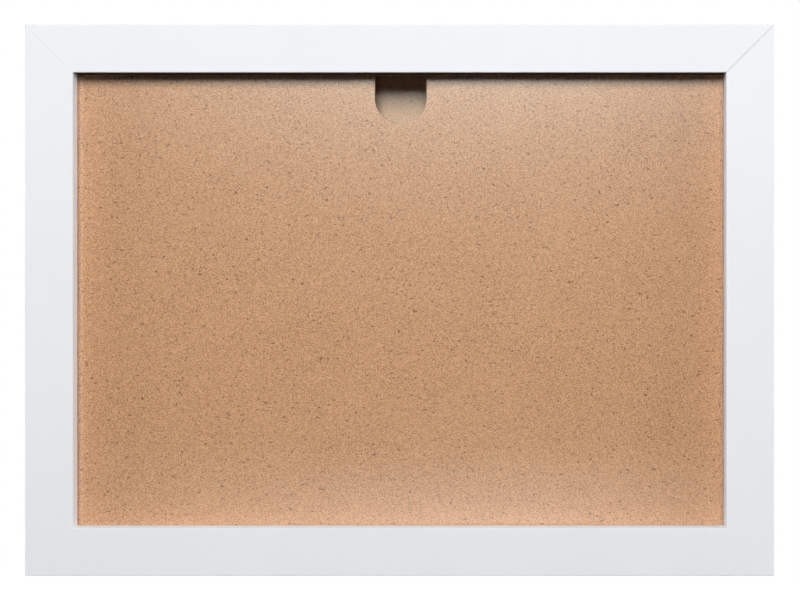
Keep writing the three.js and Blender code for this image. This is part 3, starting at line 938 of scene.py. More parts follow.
@dataclass(frozen=True)
class MitredRectangle:
    """Four mitred bars of one section round a rectangle."""

    half_width: float
    half_height: float
    front: float
    section: Sequence[Vector]  # inwards from the outer face, and back from the front
    mitre_gap: float = 0.12 * MM

    @classmethod
    def rebated(
        cls, top: NodeBox, left: NodeBox, inset: NodeBox, gap: float, arrises: tuple[float, float, float]
    ) -> "MitredRectangle":
        """Bars with a rebate in the back that holds a sheet.

        Args:
            top: The top bar's box.
            left: The left bar's box.
            inset: The box of the sheet in the rebate.
            gap: The space between the sheet's edge and the bars.
            arrises: The radii of the outer front, the inner front and the outer back edge.

        Returns:
            The rectangle of bars.
        """
        front, width, depth = top.low.y, left.size.x, top.high.y - top.low.y
        ledge, shoulder = inset.low.y - front, inset.low.x - left.low.x - gap
        outer, inner, back = arrises
        corners = [(0, 0, outer), (width, 0, inner), (width, ledge, 0)]
        corners += [(shoulder, ledge, 0), (shoulder, depth, 0), (0, depth, back)]
        return cls(-left.low.x, top.high.z, front, rounded(corners))

    def bar(self, side: Side) -> Shape:
        """One side's bar.

        Args:
            side: The side that it runs along.

        Returns:
            The bar, with mitred ends.
        """
        reach, length = self.half_width, self.half_height
        if side.level:
            reach, length = length, reach
        ends = []
        for end in (-1, 1):
            points = []
            for inwards, depth in self.section:
                travel = end * (length - inwards - self.mitre_gap / math.sqrt(2))
                across = side.outward * (reach - inwards) + side.along * travel
                points.append(across + BACKWARDS * (self.front + depth))
            ends.append(points)
        return Shape.loft(ends)

    def filler(self, corner: Corner, sink: float) -> Shape:
        """The filler in one mitre, as a thin leaf of the bars' own section.

        Args:
            corner: The mitre's corner.
            sink: How far the filler lies below the bars' faces.

        Returns:
            The leaf.
        """
        tip = Vector((corner.value[0] * self.half_width, self.front, corner.value[1] * self.half_height))
        across = corner.outward.cross(BACKWARDS).normalized()
        middle = sum(self.section, Vector((0, 0))) / len(self.section)
        ends = []
        for sign in (-1, 1):
            start = tip + across * (sign * self.mitre_gap / 2)
            sunk = [point + (middle - point).normalized() * sink for point in self.section]
            ends.append([start - corner.outward * point.x + BACKWARDS * point.y for point in sunk])
        return Shape.loft(ends)


@dataclass(frozen=True)
class CrossRecess:
    """The cross recess in a screw's head."""

    reach: float
    width: float
    depth: float
    taper: float = 0.5

    def cutter(self, top: Vector, outward: Vector) -> Shape:
        """The recess as a cutter.

        Args:
            top: The middle of the head's face.
            outward: The direction that the head faces.

        Returns:
            A star of four tapered wings.
        """
        half = self.width / 2
        wing = ((self.reach, -half), (self.reach, half), (half, half))
        turns = [Matrix.Rotation(math.pi / 2 * quarter, 2) for quarter in range(4)]
        outline = [turn @ Vector(point) for turn in turns for point in wing]
        return Shape.prism(outline, facing(outward, top), -self.depth, OVERRUN, self.taper)


@dataclass(frozen=True)
class CountersunkScrew:
    """A flat-head wood screw that lies flush in a hinge leaf."""

    head_depth: float = 0.8 * MM
    shank: float = 0.9 * MM
    rim: float = 0.1 * MM
    tip_length: float = 2.2 * MM
    hole_gap: float = 0.07 * MM
    recess: CrossRecess = CrossRecess(1.15 * MM, 0.42 * MM, 0.6 * MM)

    def shape(self, box: NodeBox, outward: Vector) -> Shape:
        """The screw in its node's box.

        Args:
            box: The node's box.
            outward: The direction that the head faces.

        Returns:
            The screw.
        """
        top = self.top(box, outward)
        head = box.size.x / 2
        profile = [
            (0.0, -box.size.y),
            (self.shank, self.tip_length - box.size.y),
            (self.shank, -self.head_depth),
            (head, -self.rim),
            (head, 0.0),
            (0.0, 0.0),
        ]
        blank = Shape.turned(profile, facing(outward, top), SMALL_ROUND_STEPS)
        return blank.without([self.recess.cutter(top, outward)])

    def hole(self, box: NodeBox, outward: Vector) -> Shape:
        """The cutter for the screw's countersunk hole.

        Args:
            box: The screw's node box.
            outward: The direction that the head faces.

        Returns:
            The cutter.
        """
        head, shank = box.size.x / 2 + self.hole_gap, self.shank + self.hole_gap
        below = -self.head_depth - OVERRUN
        profile = [(0.0, below), (shank, below), (shank, -self.head_depth)]
        profile += [(head, -self.rim), (head, OVERRUN), (0.0, OVERRUN)]
        return Shape.turned(profile, facing(outward, self.top(box, outward)), SMALL_ROUND_STEPS)

    @staticmethod
    def top(box: NodeBox, outward: Vector) -> Vector:
        """The middle of the head's face."""
        return box.centre + outward * (box.size.y / 2)


@dataclass(frozen=True)
class PanHeadScrew:
    """The domed screw that a turn button swings on."""

    shank: float = 1.1 * MM
    rim: float = 0.45 * MM
    recess: CrossRecess = CrossRecess(1.5 * MM, 0.55 * MM, 0.8 * MM)

    def shape(self, box: NodeBox, seat: float) -> Shape:
        """The screw in its node's box.

        Args:
            box: The node's box.
            seat: The depth at which the underside of its head lies.

        Returns:
            The screw.
        """
        head, low, high = box.size.x / 2, box.low.y, box.high.y
        profile = [(0.0, low), (self.shank, low + POINT_LENGTH * self.shank), (self.shank, seat)]
        profile += [(head, seat), *dome(head, seat + self.rim, high)]
        top = box.centre + BACKWARDS * (box.size.y / 2)
        blank = Shape.turned(profile, box.axis(BACKWARDS), SMALL_ROUND_STEPS)
        return blank.without([self.recess.cutter(top, BACKWARDS)])


@dataclass
class Hinge:
    """One butt hinge: a leaf on the door, a leaf on the box, four screws and the pin."""

    height: Height
    thickness: float = 0.8 * MM
    knuckles: int = 3
    knuckle_gap: float = 0.3 * MM
    bore: float = 0.84 * MM
    relief: float = 2.0 * MM
    corner: float = 1.6 * MM
    let_in: float = 0.15 * MM
    ease: float = 0.07 * MM
    pin_ease: float = 0.25 * MM
    screw: CountersunkScrew = CountersunkScrew()

    def __post_init__(self) -> None:
        """Reads the hinge's place from the frame."""
        self.pin = NodeBox.of(self.node("pin"))
        self.leaf_box = NodeBox.of(self.node("door_leaf"))
        self.axis = self.pin.centre
        self.place = facing(UPWARDS, self.axis)
        self.knuckle = self.axis.x - self.leaf_box.low.x
        self.length = self.leaf_box.size.z
        self.knuckle_length = (self.length - (self.knuckles - 1) * self.knuckle_gap) / self.knuckles

    def node(self, word: str) -> str:
        """The name of one of the hinge's nodes."""
        return f"{self.height.word}_hinge_{word}"

    def build(self) -> None:
        """Makes and dresses every piece of the hinge."""
        half, end = self.knuckle_length / 2, self.length / 2
        outer = half + self.knuckle_gap
        owned = {Body.DOOR: ((-end, -outer), (outer, end)), Body.BOX: ((-half, half),)}
        for body, spans in owned.items():
            dressing = Dressing(body.value, BRASS, self.ease)
            dressing.replace(self.node(f"{body.value}_leaf"), self.leaf(body, spans))
            for node, box in self.screws(body).items():
                Dressing(body.value, BRASS).replace(node, self.screw.shape(box, self.outward(body)))
        radius = self.pin.size.x / 2
        profile = [(0.0, -end), (radius - self.pin_ease, -end), (radius, self.pin_ease - end)]
        profile += [(across, -level) for across, level in reversed(profile)]
        pin = Shape.turned(profile, self.place, SMALL_ROUND_STEPS)
        Dressing(Body.BOX.value, ZINC).replace(self.node("pin"), pin)

    def screws(self, body: Body) -> dict[str, NodeBox]:
        """The boxes of one leaf's two screws, by node."""
        return NodeBox.named(self.node(f"{body.value}_screw_{number}") for number in (1, 2))

    @staticmethod
    def outward(body: Body) -> Vector:
        """The direction that one leaf's outer face looks in."""
        return BACKWARDS if body is Body.DOOR else FORWARDS

    def face(self, body: Body) -> float:
        """The depth of one leaf's outer face, which lies flush with the wood."""
        wood = "left_rail" if body is Body.DOOR else "box_left_wall"
        return NodeBox.of(wood).high.y if body is Body.DOOR else NodeBox.of(wood).low.y

    def leaf(self, body: Body, spans: Sequence[tuple[float, float]]) -> Shape:
        """One leaf: a plate with round corners, rolled into knuckles along one edge.

        Args:
            body: The body that it is screwed to.
            spans: Where its own knuckles lie along the pin, from the hinge's middle.

        Returns:
            The leaf.
        """
        end, free, set_back = self.length / 2, self.leaf_box.high.x, self.axis.x + self.relief
        edge: list[RoundCorner] = []
        for low, high in spans:
            edge += [(set_back, low, 0), (self.axis.x, low, 0), (self.axis.x, high, 0), (set_back, high, 0)]
        if body is Body.DOOR:
            edge = edge[1:-1]
        else:
            edge = [(set_back, -end, 0), *edge, (set_back, end, 0)]
        corners = [*edge, (free, end, self.corner), (free, -end, self.corner)]
        outline = [point + Vector((0, self.axis.z)) for point in rounded(corners)]
        face = self.face(body)
        depths = sorted((face, face - self.outward(body).y * self.thickness))
        rolls = [Shape.rod(self.place, self.knuckle, low, high) for low, high in spans]
        holes = [self.screw.hole(box, self.outward(body)) for box in self.screws(body).values()]
        bore = Shape.rod(self.place, self.bore, -end - OVERRUN, end + OVERRUN)
        return Shape.prism(outline, FRONT_VIEW, *depths).joined(rolls).without([bore, *holes])

    def seats(self, body: Body) -> list[Shape]:
        """The cutters for the hinge's recess in the door or the box.

        Args:
            body: The body that is cut.

        Returns:
            A block for the leaf and a groove for the knuckles.
        """
        box, face = self.leaf_box.grown(self.let_in), self.face(body)
        start = self.axis.x if body is Body.DOOR else box.low.x
        depths = sorted((face - self.outward(body).y * self.thickness, face + self.outward(body).y * OVERRUN))
        recess = NodeBox(Vector((start, depths[0], box.low.z)), Vector((box.high.x, depths[1], box.high.z)))
        end = self.length / 2 + self.let_in
        return [Shape.block(recess), Shape.rod(self.place, self.relief, -end, end)]


def let_in_disc(box: NodeBox, gap: float, outward: Vector) -> Shape:
    """A disc that lies flush in a face, or with a gap the cutter for its pocket.

    Args:
        box: The disc's node box.
        gap: The space left round it.
        outward: The direction of the open face.

    Returns:
        The disc.
    """
    half = box.size.y / 2
    return Shape.rod(facing(outward, box.centre), box.size.x / 2 + gap, -half, half + past(gap))


@dataclass
class Door:
    """The hinged front: mitred rails, a clear sheet, a notched board and what holds them."""

    hinges: Sequence[Hinge]
    outer_arris: float = 0.35 * MM
    sight_arris: float = 0.3 * MM
    back_arris: float = 0.6 * MM
    sheet_gap: float = 0.5 * MM
    sheet_ease: float = 0.12 * MM
    board_ease: float = 0.12 * MM
    notch_width: float = 23 * MM
    notch_depth: float = 27 * MM
    nail_thickness: float = 0.5 * MM
    nail_gap: float = 0.04 * MM
    magnet_gap: float = 0.12 * MM
    magnet_ease: float = 0.2 * MM
    button_hole: float = 1.35 * MM
    button_play: float = 0.2 * MM
    button_ease: float = 0.16 * MM
    screw: PanHeadScrew = PanHeadScrew()
    filler_sink: float = 0.01 * MM
    bare_skin: float = 0.04 * MM  # how far the skin of painted shade stands proud of the lip's underside, and is sunk into it
    bare_end_gap: float = 0.3 * MM
    fillers: Mapping[Corner, Finish] = field(
        default_factory=lambda: {
            Corner.TOP_RIGHT: OPEN_MITRE,
            Corner.BOTTOM_RIGHT: LACQUER,
            Corner.BOTTOM_LEFT: LACQUER,
            Corner.TOP_LEFT: CLOSE_MITRE,
        }
    )

    def __post_init__(self) -> None:
        """Reads the door's places from the frame."""
        top = NodeBox.of("top_rail")
        self.sheet, self.board = NodeBox.of("glazing"), NodeBox.of("backing_board")
        self.front, self.back = top.low.y, top.high.y
        arrises = (self.outer_arris, self.sight_arris, self.back_arris)
        left = NodeBox.of("left_rail")
        self.rails = MitredRectangle.rebated(top, left, self.sheet, self.sheet_gap, arrises)

    def build(self) -> None:
        """Makes and dresses every piece of the door."""
        door = Body.DOOR.value
        painted = Dressing(door, LACQUER)
        for side in Side:
            painted.replace(f"{side.word}_rail", self.rail(side))
        for corner, finish in self.fillers.items():
            filler = self.rails.filler(corner, self.filler_sink)
            Dressing(door, finish).add(f"mitre_filler_{corner.word}", filler)
        # Painted shade: a dark skin under the top lip, where its underside lies in shadow.
        Dressing(door, PAINTED_LIP_SHADE).add("top_lip_bare_edge", self.bare_edge())
        Dressing(door, CLEAR, self.sheet_ease).replace("glazing", Shape.block(self.sheet))
        Dressing(door, BOARD, self.board_ease).replace("backing_board", self.notched_board())
        for corner in Corner:
            Dressing(door, ZINC).replace(f"v_nail_{corner.word}", self.v_nail(corner, 0.0))
            self.turn_button(corner)
        for node, magnet in self.magnets().items():
            disc = let_in_disc(magnet, 0.0, BACKWARDS)
            Dressing(door, NICKEL, self.magnet_ease).replace(node, disc)

    @staticmethod
    def magnets() -> dict[str, NodeBox]:
        """The two catch magnets' boxes, by node."""
        return NodeBox.named(f"{height.word}_door_magnet" for height in Height)

    def rail(self, side: Side) -> Shape:
        """One rail with the recesses in its back.

        Args:
            side: The side that it runs along.

        Returns:
            The rail.
        """
        cutters = [self.v_nail(corner, self.nail_gap) for corner in Corner if corner.ends(side)]
        if side is Side.LEFT:
            cutters += [seat for hinge in self.hinges for seat in hinge.seats(Body.DOOR)]
        elif side is Side.RIGHT:
            cutters += [let_in_disc(box, self.magnet_gap, BACKWARDS) for box in self.magnets().values()]
        return self.rails.bar(side).without(cutters)

    def bare_edge(self) -> Shape:
        """Painted shade on the top lip's underside, which lies in deep shadow: a nearly black skin.

        Returns:
            A thin skin of painted shade over the lip's underside.
        """
        sight = NodeBox.of("top_rail").low.z
        half = NodeBox.of("right_rail").low.x - self.bare_end_gap
        low = Vector((-half, self.front + self.sight_arris, sight - self.bare_skin))
        high = Vector((half, self.sheet.low.y - self.bare_skin, sight + self.bare_skin))
        return Shape.block(NodeBox(low, high))

    def notched_board(self) -> Shape:
        """The backing board with its round-bottomed finger notch.

        Returns:
            The board.
        """
        low, high, half = self.board.low, self.board.high, self.notch_width / 2
        outline = [Vector((x, z)) for x, z in ((half, high.z), (high.x, high.z), (high.x, low.z))]
        outline += [Vector((x, z)) for x, z in ((low.x, low.z), (low.x, high.z), (-half, high.z))]
        outline += arc((0, high.z - self.notch_depth + half), half, math.pi, 2 * math.pi, ROUND_STEPS)
        return Shape.prism(outline, FRONT_VIEW, low.y, high.y)

    def v_nail(self, corner: Corner, gap: float) -> Shape:
        """A V-nail across one mitre, or with a gap the cutter for its slot.

        Args:
            corner: The mitre's corner.
            gap: The space left round it.

        Returns:
            The nail's two wings.
        """
        box = NodeBox.of(f"v_nail_{corner.word}").grown(gap)
        right, up = (sign > 0 for sign in corner.value)
        outer = Vector((box.high.x if right else box.low.x, box.high.z if up else box.low.z))
        inner = Vector((box.low.x if right else box.high.x, box.low.z if up else box.high.z))
        step = outer - Vector(corner.value) * (self.nail_thickness + 2 * gap)
        outline = [outer, (inner.x, outer.y), (inner.x, step.y), step, (step.x, inner.y), (outer.x, inner.y)]
        return Shape.prism(outline, FRONT_VIEW, box.low.y, self.back + past(gap))

    def turn_button(self, corner: Corner) -> None:
        """Makes one turn button and its screw.

        Args:
            corner: The corner that it is nearest to.
        """
        node, screw_node = f"turn_button_{corner.word}", f"turn_button_screw_{corner.word}"
        blade, screw = NodeBox.of(node), NodeBox.of(screw_node)
        half, steps = blade.size.x / 2, SMALL_ROUND_STEPS // 2
        outline = arc((blade.centre.x, blade.high.z - half), half, 0, math.pi, steps)
        outline += arc((blade.centre.x, blade.low.z + half), half, math.pi, 2 * math.pi, steps)
        strip = Shape.prism(outline, FRONT_VIEW, blade.low.y, blade.high.y)
        ends = (blade.low.y - OVERRUN, blade.high.y + OVERRUN)
        hole = Shape.rod(screw.axis(BACKWARDS), self.button_hole, *ends)
        Dressing(node, BRASS, self.button_ease).replace(node, strip.without([hole]))
        seat = blade.high.y + self.button_play
        Dressing(Body.DOOR.value, BRASS).replace(screw_node, self.screw.shape(screw, seat))


@dataclass
class SawtoothHanger:
    """A toothed strip that stands off the rear panel between two riveted pads."""

    word: str
    turn: float = 0.0  # about Y; without it the teeth point down
    thickness: float = 0.8 * MM
    pad: float = 8 * MM
    ramp: float = 2 * MM
    pitch: float = 3 * MM
    tooth: float = 1.8 * MM
    corner: float = 1.6 * MM
    rivet_shank: float = 1.2 * MM
    rivet_rim: float = 0.12 * MM
    hole_gap: float = 0.05 * MM
    ease: float = 0.1 * MM

    def __post_init__(self) -> None:
        """Reads the hanger's place from the frame."""
        self.box = NodeBox.of(f"{self.word}_hanger")
        across = self.box.size
        self.half_length = max(across.x, across.z) / 2
        self.half_height = min(across.x, across.z) / 2
        self.standoff = across.y - self.thickness
        self.crest = self.half_length - self.pad - self.ramp
        self.toothed = math.floor(2 * self.crest / self.pitch) * self.pitch / 2
        self.rivets = NodeBox.named(f"{self.word}_hanger_rivet_{number}" for number in (1, 2))

    def build(self) -> None:
        """Makes and dresses the strip and its rivets."""
        Dressing(Body.BOX.value, ZINC, self.ease).replace(f"{self.word}_hanger", self.strip())
        for node, box in self.rivets.items():
            seat = self.box.low.y + self.thickness
            head, low = box.size.x / 2, box.low.y
            profile = [(0.0, low), (self.rivet_shank, low), (self.rivet_shank, seat), (head, seat)]
            profile += dome(head, seat + self.rivet_rim, box.high.y)
            Dressing(Body.BOX.value, ZINC).replace(node, Shape.turned(profile, box.axis(BACKWARDS)))

    def strip(self) -> Shape:
        """The pressed strip, station by station along its length.

        Returns:
            The strip.
        """
        place = Matrix.Translation((self.box.centre.x, self.box.low.y, self.box.centre.z))
        place @= Matrix.Rotation(self.turn, 4, "Y")
        sections = []
        for x in self.stations():
            foot, trim = self.rise(x), self.trim(x)
            top, low = self.half_height - trim, self.bite(x) + trim - self.half_height
            back = foot + self.thickness
            ring = ((x, foot, top), (x, foot, low), (x, back, low), (x, back, top))
            sections.append([place @ Vector(point) for point in ring])
        return Shape.loft(sections)

    def stations(self) -> list[float]:
        """Where along its length the strip changes its section.

        Returns:
            The places, from one end to the other, with 0 in the middle.
        """
        bends = [self.crest + self.ramp * i / ARC_STEPS for i in range(ARC_STEPS + 1)]
        angles = [math.pi / 2 * i / ARC_STEPS for i in range(ARC_STEPS + 1)]
        ends = [self.half_length - self.corner * (1 - math.sin(a)) for a in angles]
        teeth = [self.pitch / 2 * i for i in range(round(2 * self.toothed / self.pitch) + 1)]
        half = sorted({*bends, *ends, *teeth})
        return [-x for x in reversed(half) if x > 0] + half

    def rise(self, x: float) -> float:
        """How far the strip stands off the panel at x, on two soft bends."""
        share = min(1.0, max(0.0, (self.crest + self.ramp - abs(x)) / self.ramp))
        return self.standoff * share * share * (3 - 2 * share)

    def trim(self, x: float) -> float:
        """What the round corners take off each edge at x."""
        past = max(0.0, abs(x) - self.half_length + self.corner)
        return self.corner - math.sqrt(max(0.0, self.corner**2 - past**2))

    def bite(self, x: float) -> float:
        """How deep the gap between two teeth is at x.

        Args:
            x: A place along the strip, with 0 in the middle.

        Returns:
            The depth, 0 where there are no teeth.
        """
        if abs(x) >= self.toothed:
            return 0.0
        phase = ((x + self.toothed) / self.pitch) % 1.0
        return self.tooth * (1 - abs(2 * phase - 1))

    def holes(self) -> list[Shape]:
        """The cutters for the rivets' holes in the panel.

        Returns:
            A round bar for each rivet.
        """
        radius, end = self.rivet_shank + self.hole_gap, self.box.low.y + OVERRUN
        boxes = self.rivets.values()
        return [Shape.rod(box.axis(BACKWARDS), radius, box.low.y - OVERRUN, end) for box in boxes]


@dataclass
class StorageBox:
    """The shallow box behind the door, with its rear panel and what fixes it to the wall."""

    hinges: Sequence[Hinge]
    arris: float = 0.6 * MM
    filler_sink: float = 0.03 * MM
    panel_gap: float = 0.3 * MM
    keeper_gap: float = 0.12 * MM
    keeper_ease: float = 0.2 * MM
    pin_shank: float = 0.6 * MM
    pin_head: float = 0.5 * MM
    pin_gap: float = 0.06 * MM
    pocket_reach: float = 13.5 * MM
    pocket_beside: float = 3.5 * MM
    pocket_depth: float = 2.6 * MM
    bumper_arris: float = 0.9 * MM
    bumper_dish: float = 0.25 * MM

    def __post_init__(self) -> None:
        """Reads the box's places from the frame."""
        top, left = NodeBox.of("box_top_wall"), NodeBox.of("box_left_wall")
        self.panel = NodeBox.of("back_panel")
        self.front, self.inside = top.low.y, top.low.z
        arrises = (self.arris, 0.0, self.arris)
        self.walls = MitredRectangle.rebated(top, left, self.panel, self.panel_gap, arrises)
        self.hangers = (SawtoothHanger("landscape"), SawtoothHanger("portrait", -math.pi / 2))

    def build(self) -> None:
        """Makes and dresses every piece of the box."""
        box = Body.BOX.value
        for side in Side:
            Dressing(box, LACQUER).replace(f"box_{side.word}_wall", self.wall(side))
        for corner in Corner:
            filler = self.walls.filler(corner, self.filler_sink)
            Dressing(box, LACQUER).add(f"box_mitre_filler_{corner.word}", filler)
        Dressing(box, PANEL).replace("back_panel", self.rear_panel())
        for node, keeper in self.keepers().items():
            disc = let_in_disc(keeper, 0.0, FORWARDS)
            Dressing(box, ZINC, self.keeper_ease).replace(node, disc)
        for node, pin in self.pins().items():
            Dressing(box, ZINC).replace(node, self.panel_pin(pin, 0.0))
        for hanger in self.hangers:
            hanger.build()
        for corner in Corner:
            node = f"bumper_{corner.word}"
            Dressing(box, RUBBER).replace(node, self.bumper(NodeBox.of(node)))

    @staticmethod
    def keepers() -> dict[str, NodeBox]:
        """The two keeper discs' boxes, by node."""
        return NodeBox.named(f"{height.word}_keeper_disc" for height in Height)

    @staticmethod
    def pins() -> dict[str, NodeBox]:
        """The panel pins' boxes, by node."""
        words = [f"{height.word}_{place}" for height in Height for place in ("left", "middle", "right")]
        return NodeBox.named(f"panel_pin_{word}" for word in (*words, "side_left", "side_right"))

    def wall(self, side: Side) -> Shape:
        """One wall with the recesses in its front edge.

        Args:
            side: The side that it runs along.

        Returns:
            The wall.
        """
        if side is Side.LEFT:
            cutters = [seat for hinge in self.hinges for seat in hinge.seats(Body.BOX)]
        elif side is Side.RIGHT:
            cutters = [let_in_disc(box, self.keeper_gap, FORWARDS) for box in self.keepers().values()]
        else:
            cutters = [self.button_pocket(corner) for corner in Corner if corner.ends(side)]
        return self.walls.bar(side).without(cutters)

    def button_pocket(self, corner: Corner) -> Shape:
        """The cutter for the room that a turn button swings in.

        Args:
            corner: The turn button's corner.

        Returns:
            A block that opens to the front and to the inside.
        """
        pivot = NodeBox.of(f"turn_button_screw_{corner.word}").centre
        sign_x, sign_z = corner.value
        x = sorted(pivot.x + sign_x * step for step in (-self.pocket_reach, self.pocket_beside))
        z = sorted((sign_z * (self.inside - OVERRUN), pivot.z + sign_z * self.pocket_beside))
        low = Vector((x[0], self.front - OVERRUN, z[0]))
        return Shape.block(NodeBox(low, Vector((x[1], self.front + self.pocket_depth, z[1]))))

    def rear_panel(self) -> Shape:
        """The rear panel, drilled for the rivets and sunk for the pins' heads.

        Returns:
            The panel.
        """
        cutters = [hole for hanger in self.hangers for hole in hanger.holes()]
        cutters += [self.panel_pin(pin, self.pin_gap) for pin in self.pins().values()]
        return Shape.block(self.panel).without(cutters)

    def panel_pin(self, box: NodeBox, gap: float) -> Shape:
        """A panel pin, or with a gap the cutter for its hole.

        Args:
            box: The pin's node box.
            gap: The space left round it.

        Returns:
            The pin.
        """
        head, shank = box.size.x / 2 + gap, self.pin_shank + gap
        neck, top = box.high.y - self.pin_head - gap, box.high.y + past(gap)
        profile = [(0.0, box.low.y), (shank, box.low.y + POINT_LENGTH * shank), (shank, neck)]
        profile += [(head, neck), (head, top), (0.0, top)]
        return Shape.turned(profile, box.axis(BACKWARDS), SMALL_ROUND_STEPS)

    def bumper(self, box: NodeBox) -> Shape:
        """A rubber bumper with a round edge and a slightly dished face.

        Args:
            box: The bumper's node box.

        Returns:
            The bumper.
        """
        radius, low, high, arris = box.size.x / 2, box.low.y, box.high.y, self.bumper_arris
        edge = arc((radius - arris, high - arris), arris, 0, math.pi / 2, ARC_STEPS)
        profile = [(0.0, low), (radius, low), *((point.x, point.y) for point in edge)]
        profile += [(radius / 2, high - self.bumper_dish), (0.0, high - self.bumper_dish)]
        return Shape.turned(profile, box.axis(BACKWARDS))


@dataclass(frozen=True)
class Softbox:
    """One soft rectangular lamp."""

    name: str
    place: Place
    width: float
    height: float
    watts: float
    tint: Colour = WHITE
    aim: Place = (0.0, 0.0, 0.0)

    def build(self) -> None:
        """Makes the lamp."""
        data = bpy.data.lights.new(self.name, "AREA")
        data.shape = "RECTANGLE"
        data.size, data.size_y = self.width, self.height
        data.energy = self.watts
        data.color = self.tint
        made = bpy.data.objects.new(self.name, data)
        made.location = self.place
        made.rotation_euler = (Vector(self.aim) - Vector(self.place)).to_track_quat("-Z", "Y").to_euler()
        bpy.context.scene.collection.objects.link(made)


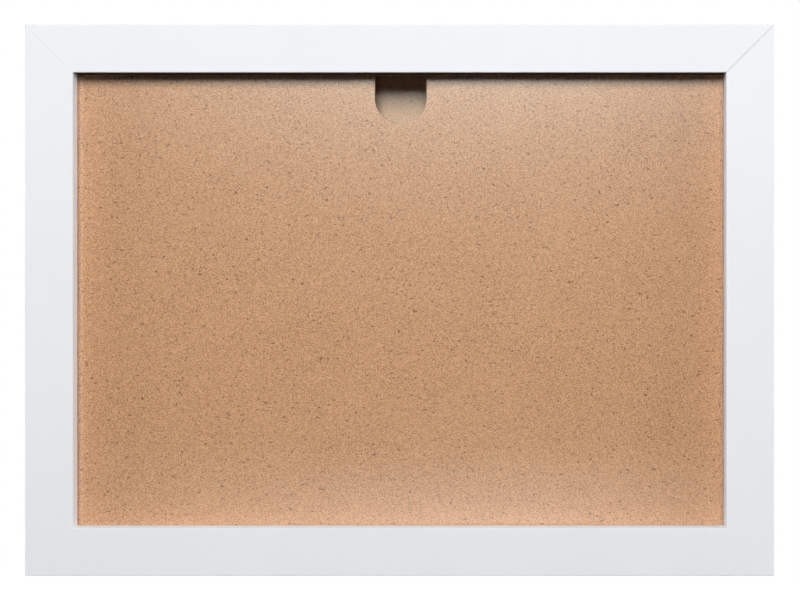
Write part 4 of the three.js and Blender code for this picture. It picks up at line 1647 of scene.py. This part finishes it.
@dataclass
class Studio:
    """Camera, lamps, background and floor."""

    front: float
    view_width: float = 351.3 * MM  # of the photograph, at the frame's front face
    image_width: float = 800.0
    image_height: float = 600.0
    centre_x: float = 399.5  # the frame's middle in the photograph, in pixels
    centre_y: float = 300.15
    distance: float = 580 * MM
    eye_right: float = 40 * MM  # the photograph shows more of the left reveal than of the right
    sensor: float = 36.0  # in millimetres
    room_tint: Colour = (0.75, 0.84, 1.0)
    room_light: float = 0.01
    floor_level: float = -1.0
    floor_half: float = 4.0
    floor_tone: Colour = (0.8, 0.8, 0.8)
    floor_dull: Colour = (0.02, 0.02, 0.02)  # for the light that the floor throws back
    floor_roughness: float = 0.9
    floor_glow: Range = (0.45, 1.0)  # below the frame, and further out
    floor_glow_reach: Range = (1.2, 2.2)
    flag_depth: float = -3.0
    flag_low: Range = (-2.6, -0.95)  # X and Z of two opposite corners
    flag_high: Range = (2.2, 2.0)
    flag_left_fade: Range = (-1.25, -2.6)  # X where the black ends, and where it is white
    flag_right_fade: Range = (0.85, 2.2)
    hem_glow: float = 1.12
    hem_heights: Range = (-0.395, -0.6)
    top_glow: float = 3.2
    top_heights: Range = (0.6, 0.75)
    top_fade_heights: Range = (0.9, 2.0)
    glow_left: Range = (-1.0, -0.12)  # X where the hem and the band are weak, and where they are full
    glow_left_share: Range = (0.2, 1.0)
    glow_right: Range = (0.2, 0.6)
    glow_right_share: Range = (1.0, 0.42)
    softboxes: Sequence[Softbox] = (
        Softbox("key_softbox", (0.0, -1.6, 0.805), 0.9, 0.74, 28.1),
        Softbox("left_softbox", (-1.8, -0.4, 0.27), 0.5, 0.3, 11.0, COOL),
        Softbox("right_softbox", (1.8, -0.4, 0.27), 0.5, 0.3, 15.0, COOL),
        Softbox("rear_left_softbox", (-1.2, 1.1, 0.7), 0.9, 0.9, 15.0),
        Softbox("rear_right_softbox", (1.2, 1.1, 0.7), 0.9, 0.9, 15.0),
        Softbox("rear_low_softbox", (0.0, 0.7, -0.8), 0.8, 0.5, 3.5),
    )

    def build(self) -> None:
        """Sets the whole stage."""
        self.camera()
        self.world()
        self.floor()
        self.flag()
        for softbox in self.softboxes:
            softbox.build()

    def camera(self) -> None:
        """The photograph's view: square on, with the lens shifted to the left."""
        data = bpy.data.cameras.new("photograph_view")
        data.sensor_width = self.sensor
        data.lens = self.sensor * self.distance / self.view_width
        pixel = self.view_width / self.image_width
        aim_x = (self.image_width / 2 - self.centre_x) * pixel
        aim_z = (self.centre_y - self.image_height / 2) * pixel
        data.shift_x = (aim_x - self.eye_right) / self.view_width
        made = bpy.data.objects.new("photograph_view", data)
        made.location = (self.eye_right, self.front - self.distance, aim_z)
        made.rotation_euler = (math.pi / 2, 0, 0)
        bpy.context.scene.collection.objects.link(made)
        bpy.context.scene.camera = made

    def world(self) -> None:
        """A white background with a weak, cool light of its own."""
        world = bpy.data.worlds.new("white_room")
        world.use_nodes = True
        sheet = NodeSheet(world.node_tree)
        light = sheet.add("Background", Color=self.room_tint, Strength=self.room_light)
        backdrop = sheet.add("Background", Color=WHITE, Strength=1.0)
        sheet.show(sheet.seen, light.outputs["Background"], backdrop.outputs["Background"], "World Output")
        bpy.context.scene.world = world

    def floor(self) -> None:
        """A pale floor well below the frame, white where it is lit and grey in the frame's shadow."""
        half, level = self.floor_half, self.floor_level
        corners = [(x, y, level) for x, y in ((-half, -half), (half, -half), (half, half), (-half, half))]
        sheet = self.card("pale_floor", corners)
        distance = sheet.add("VectorMath", {"operation": "LENGTH"})
        sheet.feed(distance.inputs[0], sheet.place.outputs["Object"])
        glow = sheet.span(distance.outputs["Value"], self.floor_glow_reach, self.floor_glow)
        sheet.set(
            Base_Color=self.floor_tone,
            Roughness=self.floor_roughness,
            Emission_Color=WHITE,
            Emission_Strength=glow,
        )
        dull = sheet.add("BsdfDiffuse", Color=self.floor_dull)
        sheet.show(sheet.seen, dull.outputs["BSDF"], sheet.shader.outputs["BSDF"], "Material Output")

    def flag(self) -> None:
        """A black flag behind the camera, which shows only in reflections.

        It glows in a hem below and a brighter band above, which show only as a reflected sheen on the board
        and the clear sheet, and it fades to the room's white beside and above.
        """
        (x0, z0), (x1, z1) = self.flag_low, self.flag_high
        corners = [(x, self.flag_depth, z) for x, z in ((x0, z0), (x1, z0), (x1, z1), (x0, z1))]
        sheet = self.card("black_flag", corners)
        spot = sheet.add("SeparateXYZ", Vector=sheet.place.outputs["Object"]).outputs
        side, height = spot["X"], spot["Z"]
        across = sheet.product(
            sheet.span(side, self.glow_left, self.glow_left_share),
            sheet.span(side, self.glow_right, self.glow_right_share),
        )
        # The hem and the top band glow: a sheen that shows only in reflections.
        hem = sheet.product(across, sheet.span(height, self.hem_heights, (0.0, self.hem_glow)))
        top = sheet.product(
            across,
            sheet.span(height, self.top_heights, (0.0, self.top_glow)),
            sheet.span(height, self.top_fade_heights, (1.0, 1.0 / self.top_glow)),
        )
        above = sheet.span(height, self.top_fade_heights)
        beside = [sheet.span(side, fade) for fade in (self.flag_left_fade, self.flag_right_fade)]
        sheet.set(
            Base_Color=BLACK,
            Specular_IOR_Level=0.0,
            Emission_Color=WHITE,
            Emission_Strength=sheet.largest(hem, top, above, *beside),
        )
        made = bpy.data.objects["black_flag"]
        made.visible_camera = False
        made.visible_diffuse = False
        made.visible_shadow = False

    def spare(self, pane: str) -> None:
        """Keeps the lamps' own image off a clear sheet, as a polarising filter does.

        Args:
            pane: The name of the sheet's piece.
        """
        spared = bpy.data.collections.new("clear_sheet_without_lamps")
        spared.objects.link(bpy.data.objects[pane])
        spared.collection_objects[0].light_linking.link_state = "EXCLUDE"
        for softbox in self.softboxes:
            bpy.data.objects[softbox.name].light_linking.receiver_collection = spared

    @staticmethod
    def card(name: str, corners: Sequence[Place]) -> NodeSheet:
        """A flat card of the stage with a material of its own.

        Args:
            name: The card's name, and its material's.
            corners: Its corners, in order.

        Returns:
            The material's node sheet.
        """
        data = bpy.data.meshes.new(name)
        data.from_pydata(corners, [], [tuple(range(len(corners)))])
        made = bpy.data.objects.new(name, data)
        bpy.context.scene.collection.objects.link(made)
        material = bpy.data.materials.new(name)
        material.use_nodes = True
        data.materials.append(material)
        return NodeSheet(material.node_tree)


def main() -> None:
    """Builds the stage and every piece, in order."""
    logging.basicConfig(level=logging.INFO, format="%(name)s %(message)s")
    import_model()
    bpy.context.scene.view_settings.view_transform = "Standard"
    hinges = [Hinge(height) for height in Height]
    door = Door(hinges)
    studio = Studio(door.front)
    studio.build()
    door.build()
    studio.spare("dressed_glazing")
    StorageBox(hinges).build()
    for hinge in hinges:
        hinge.build()


if __name__ == "__main__":
    main()
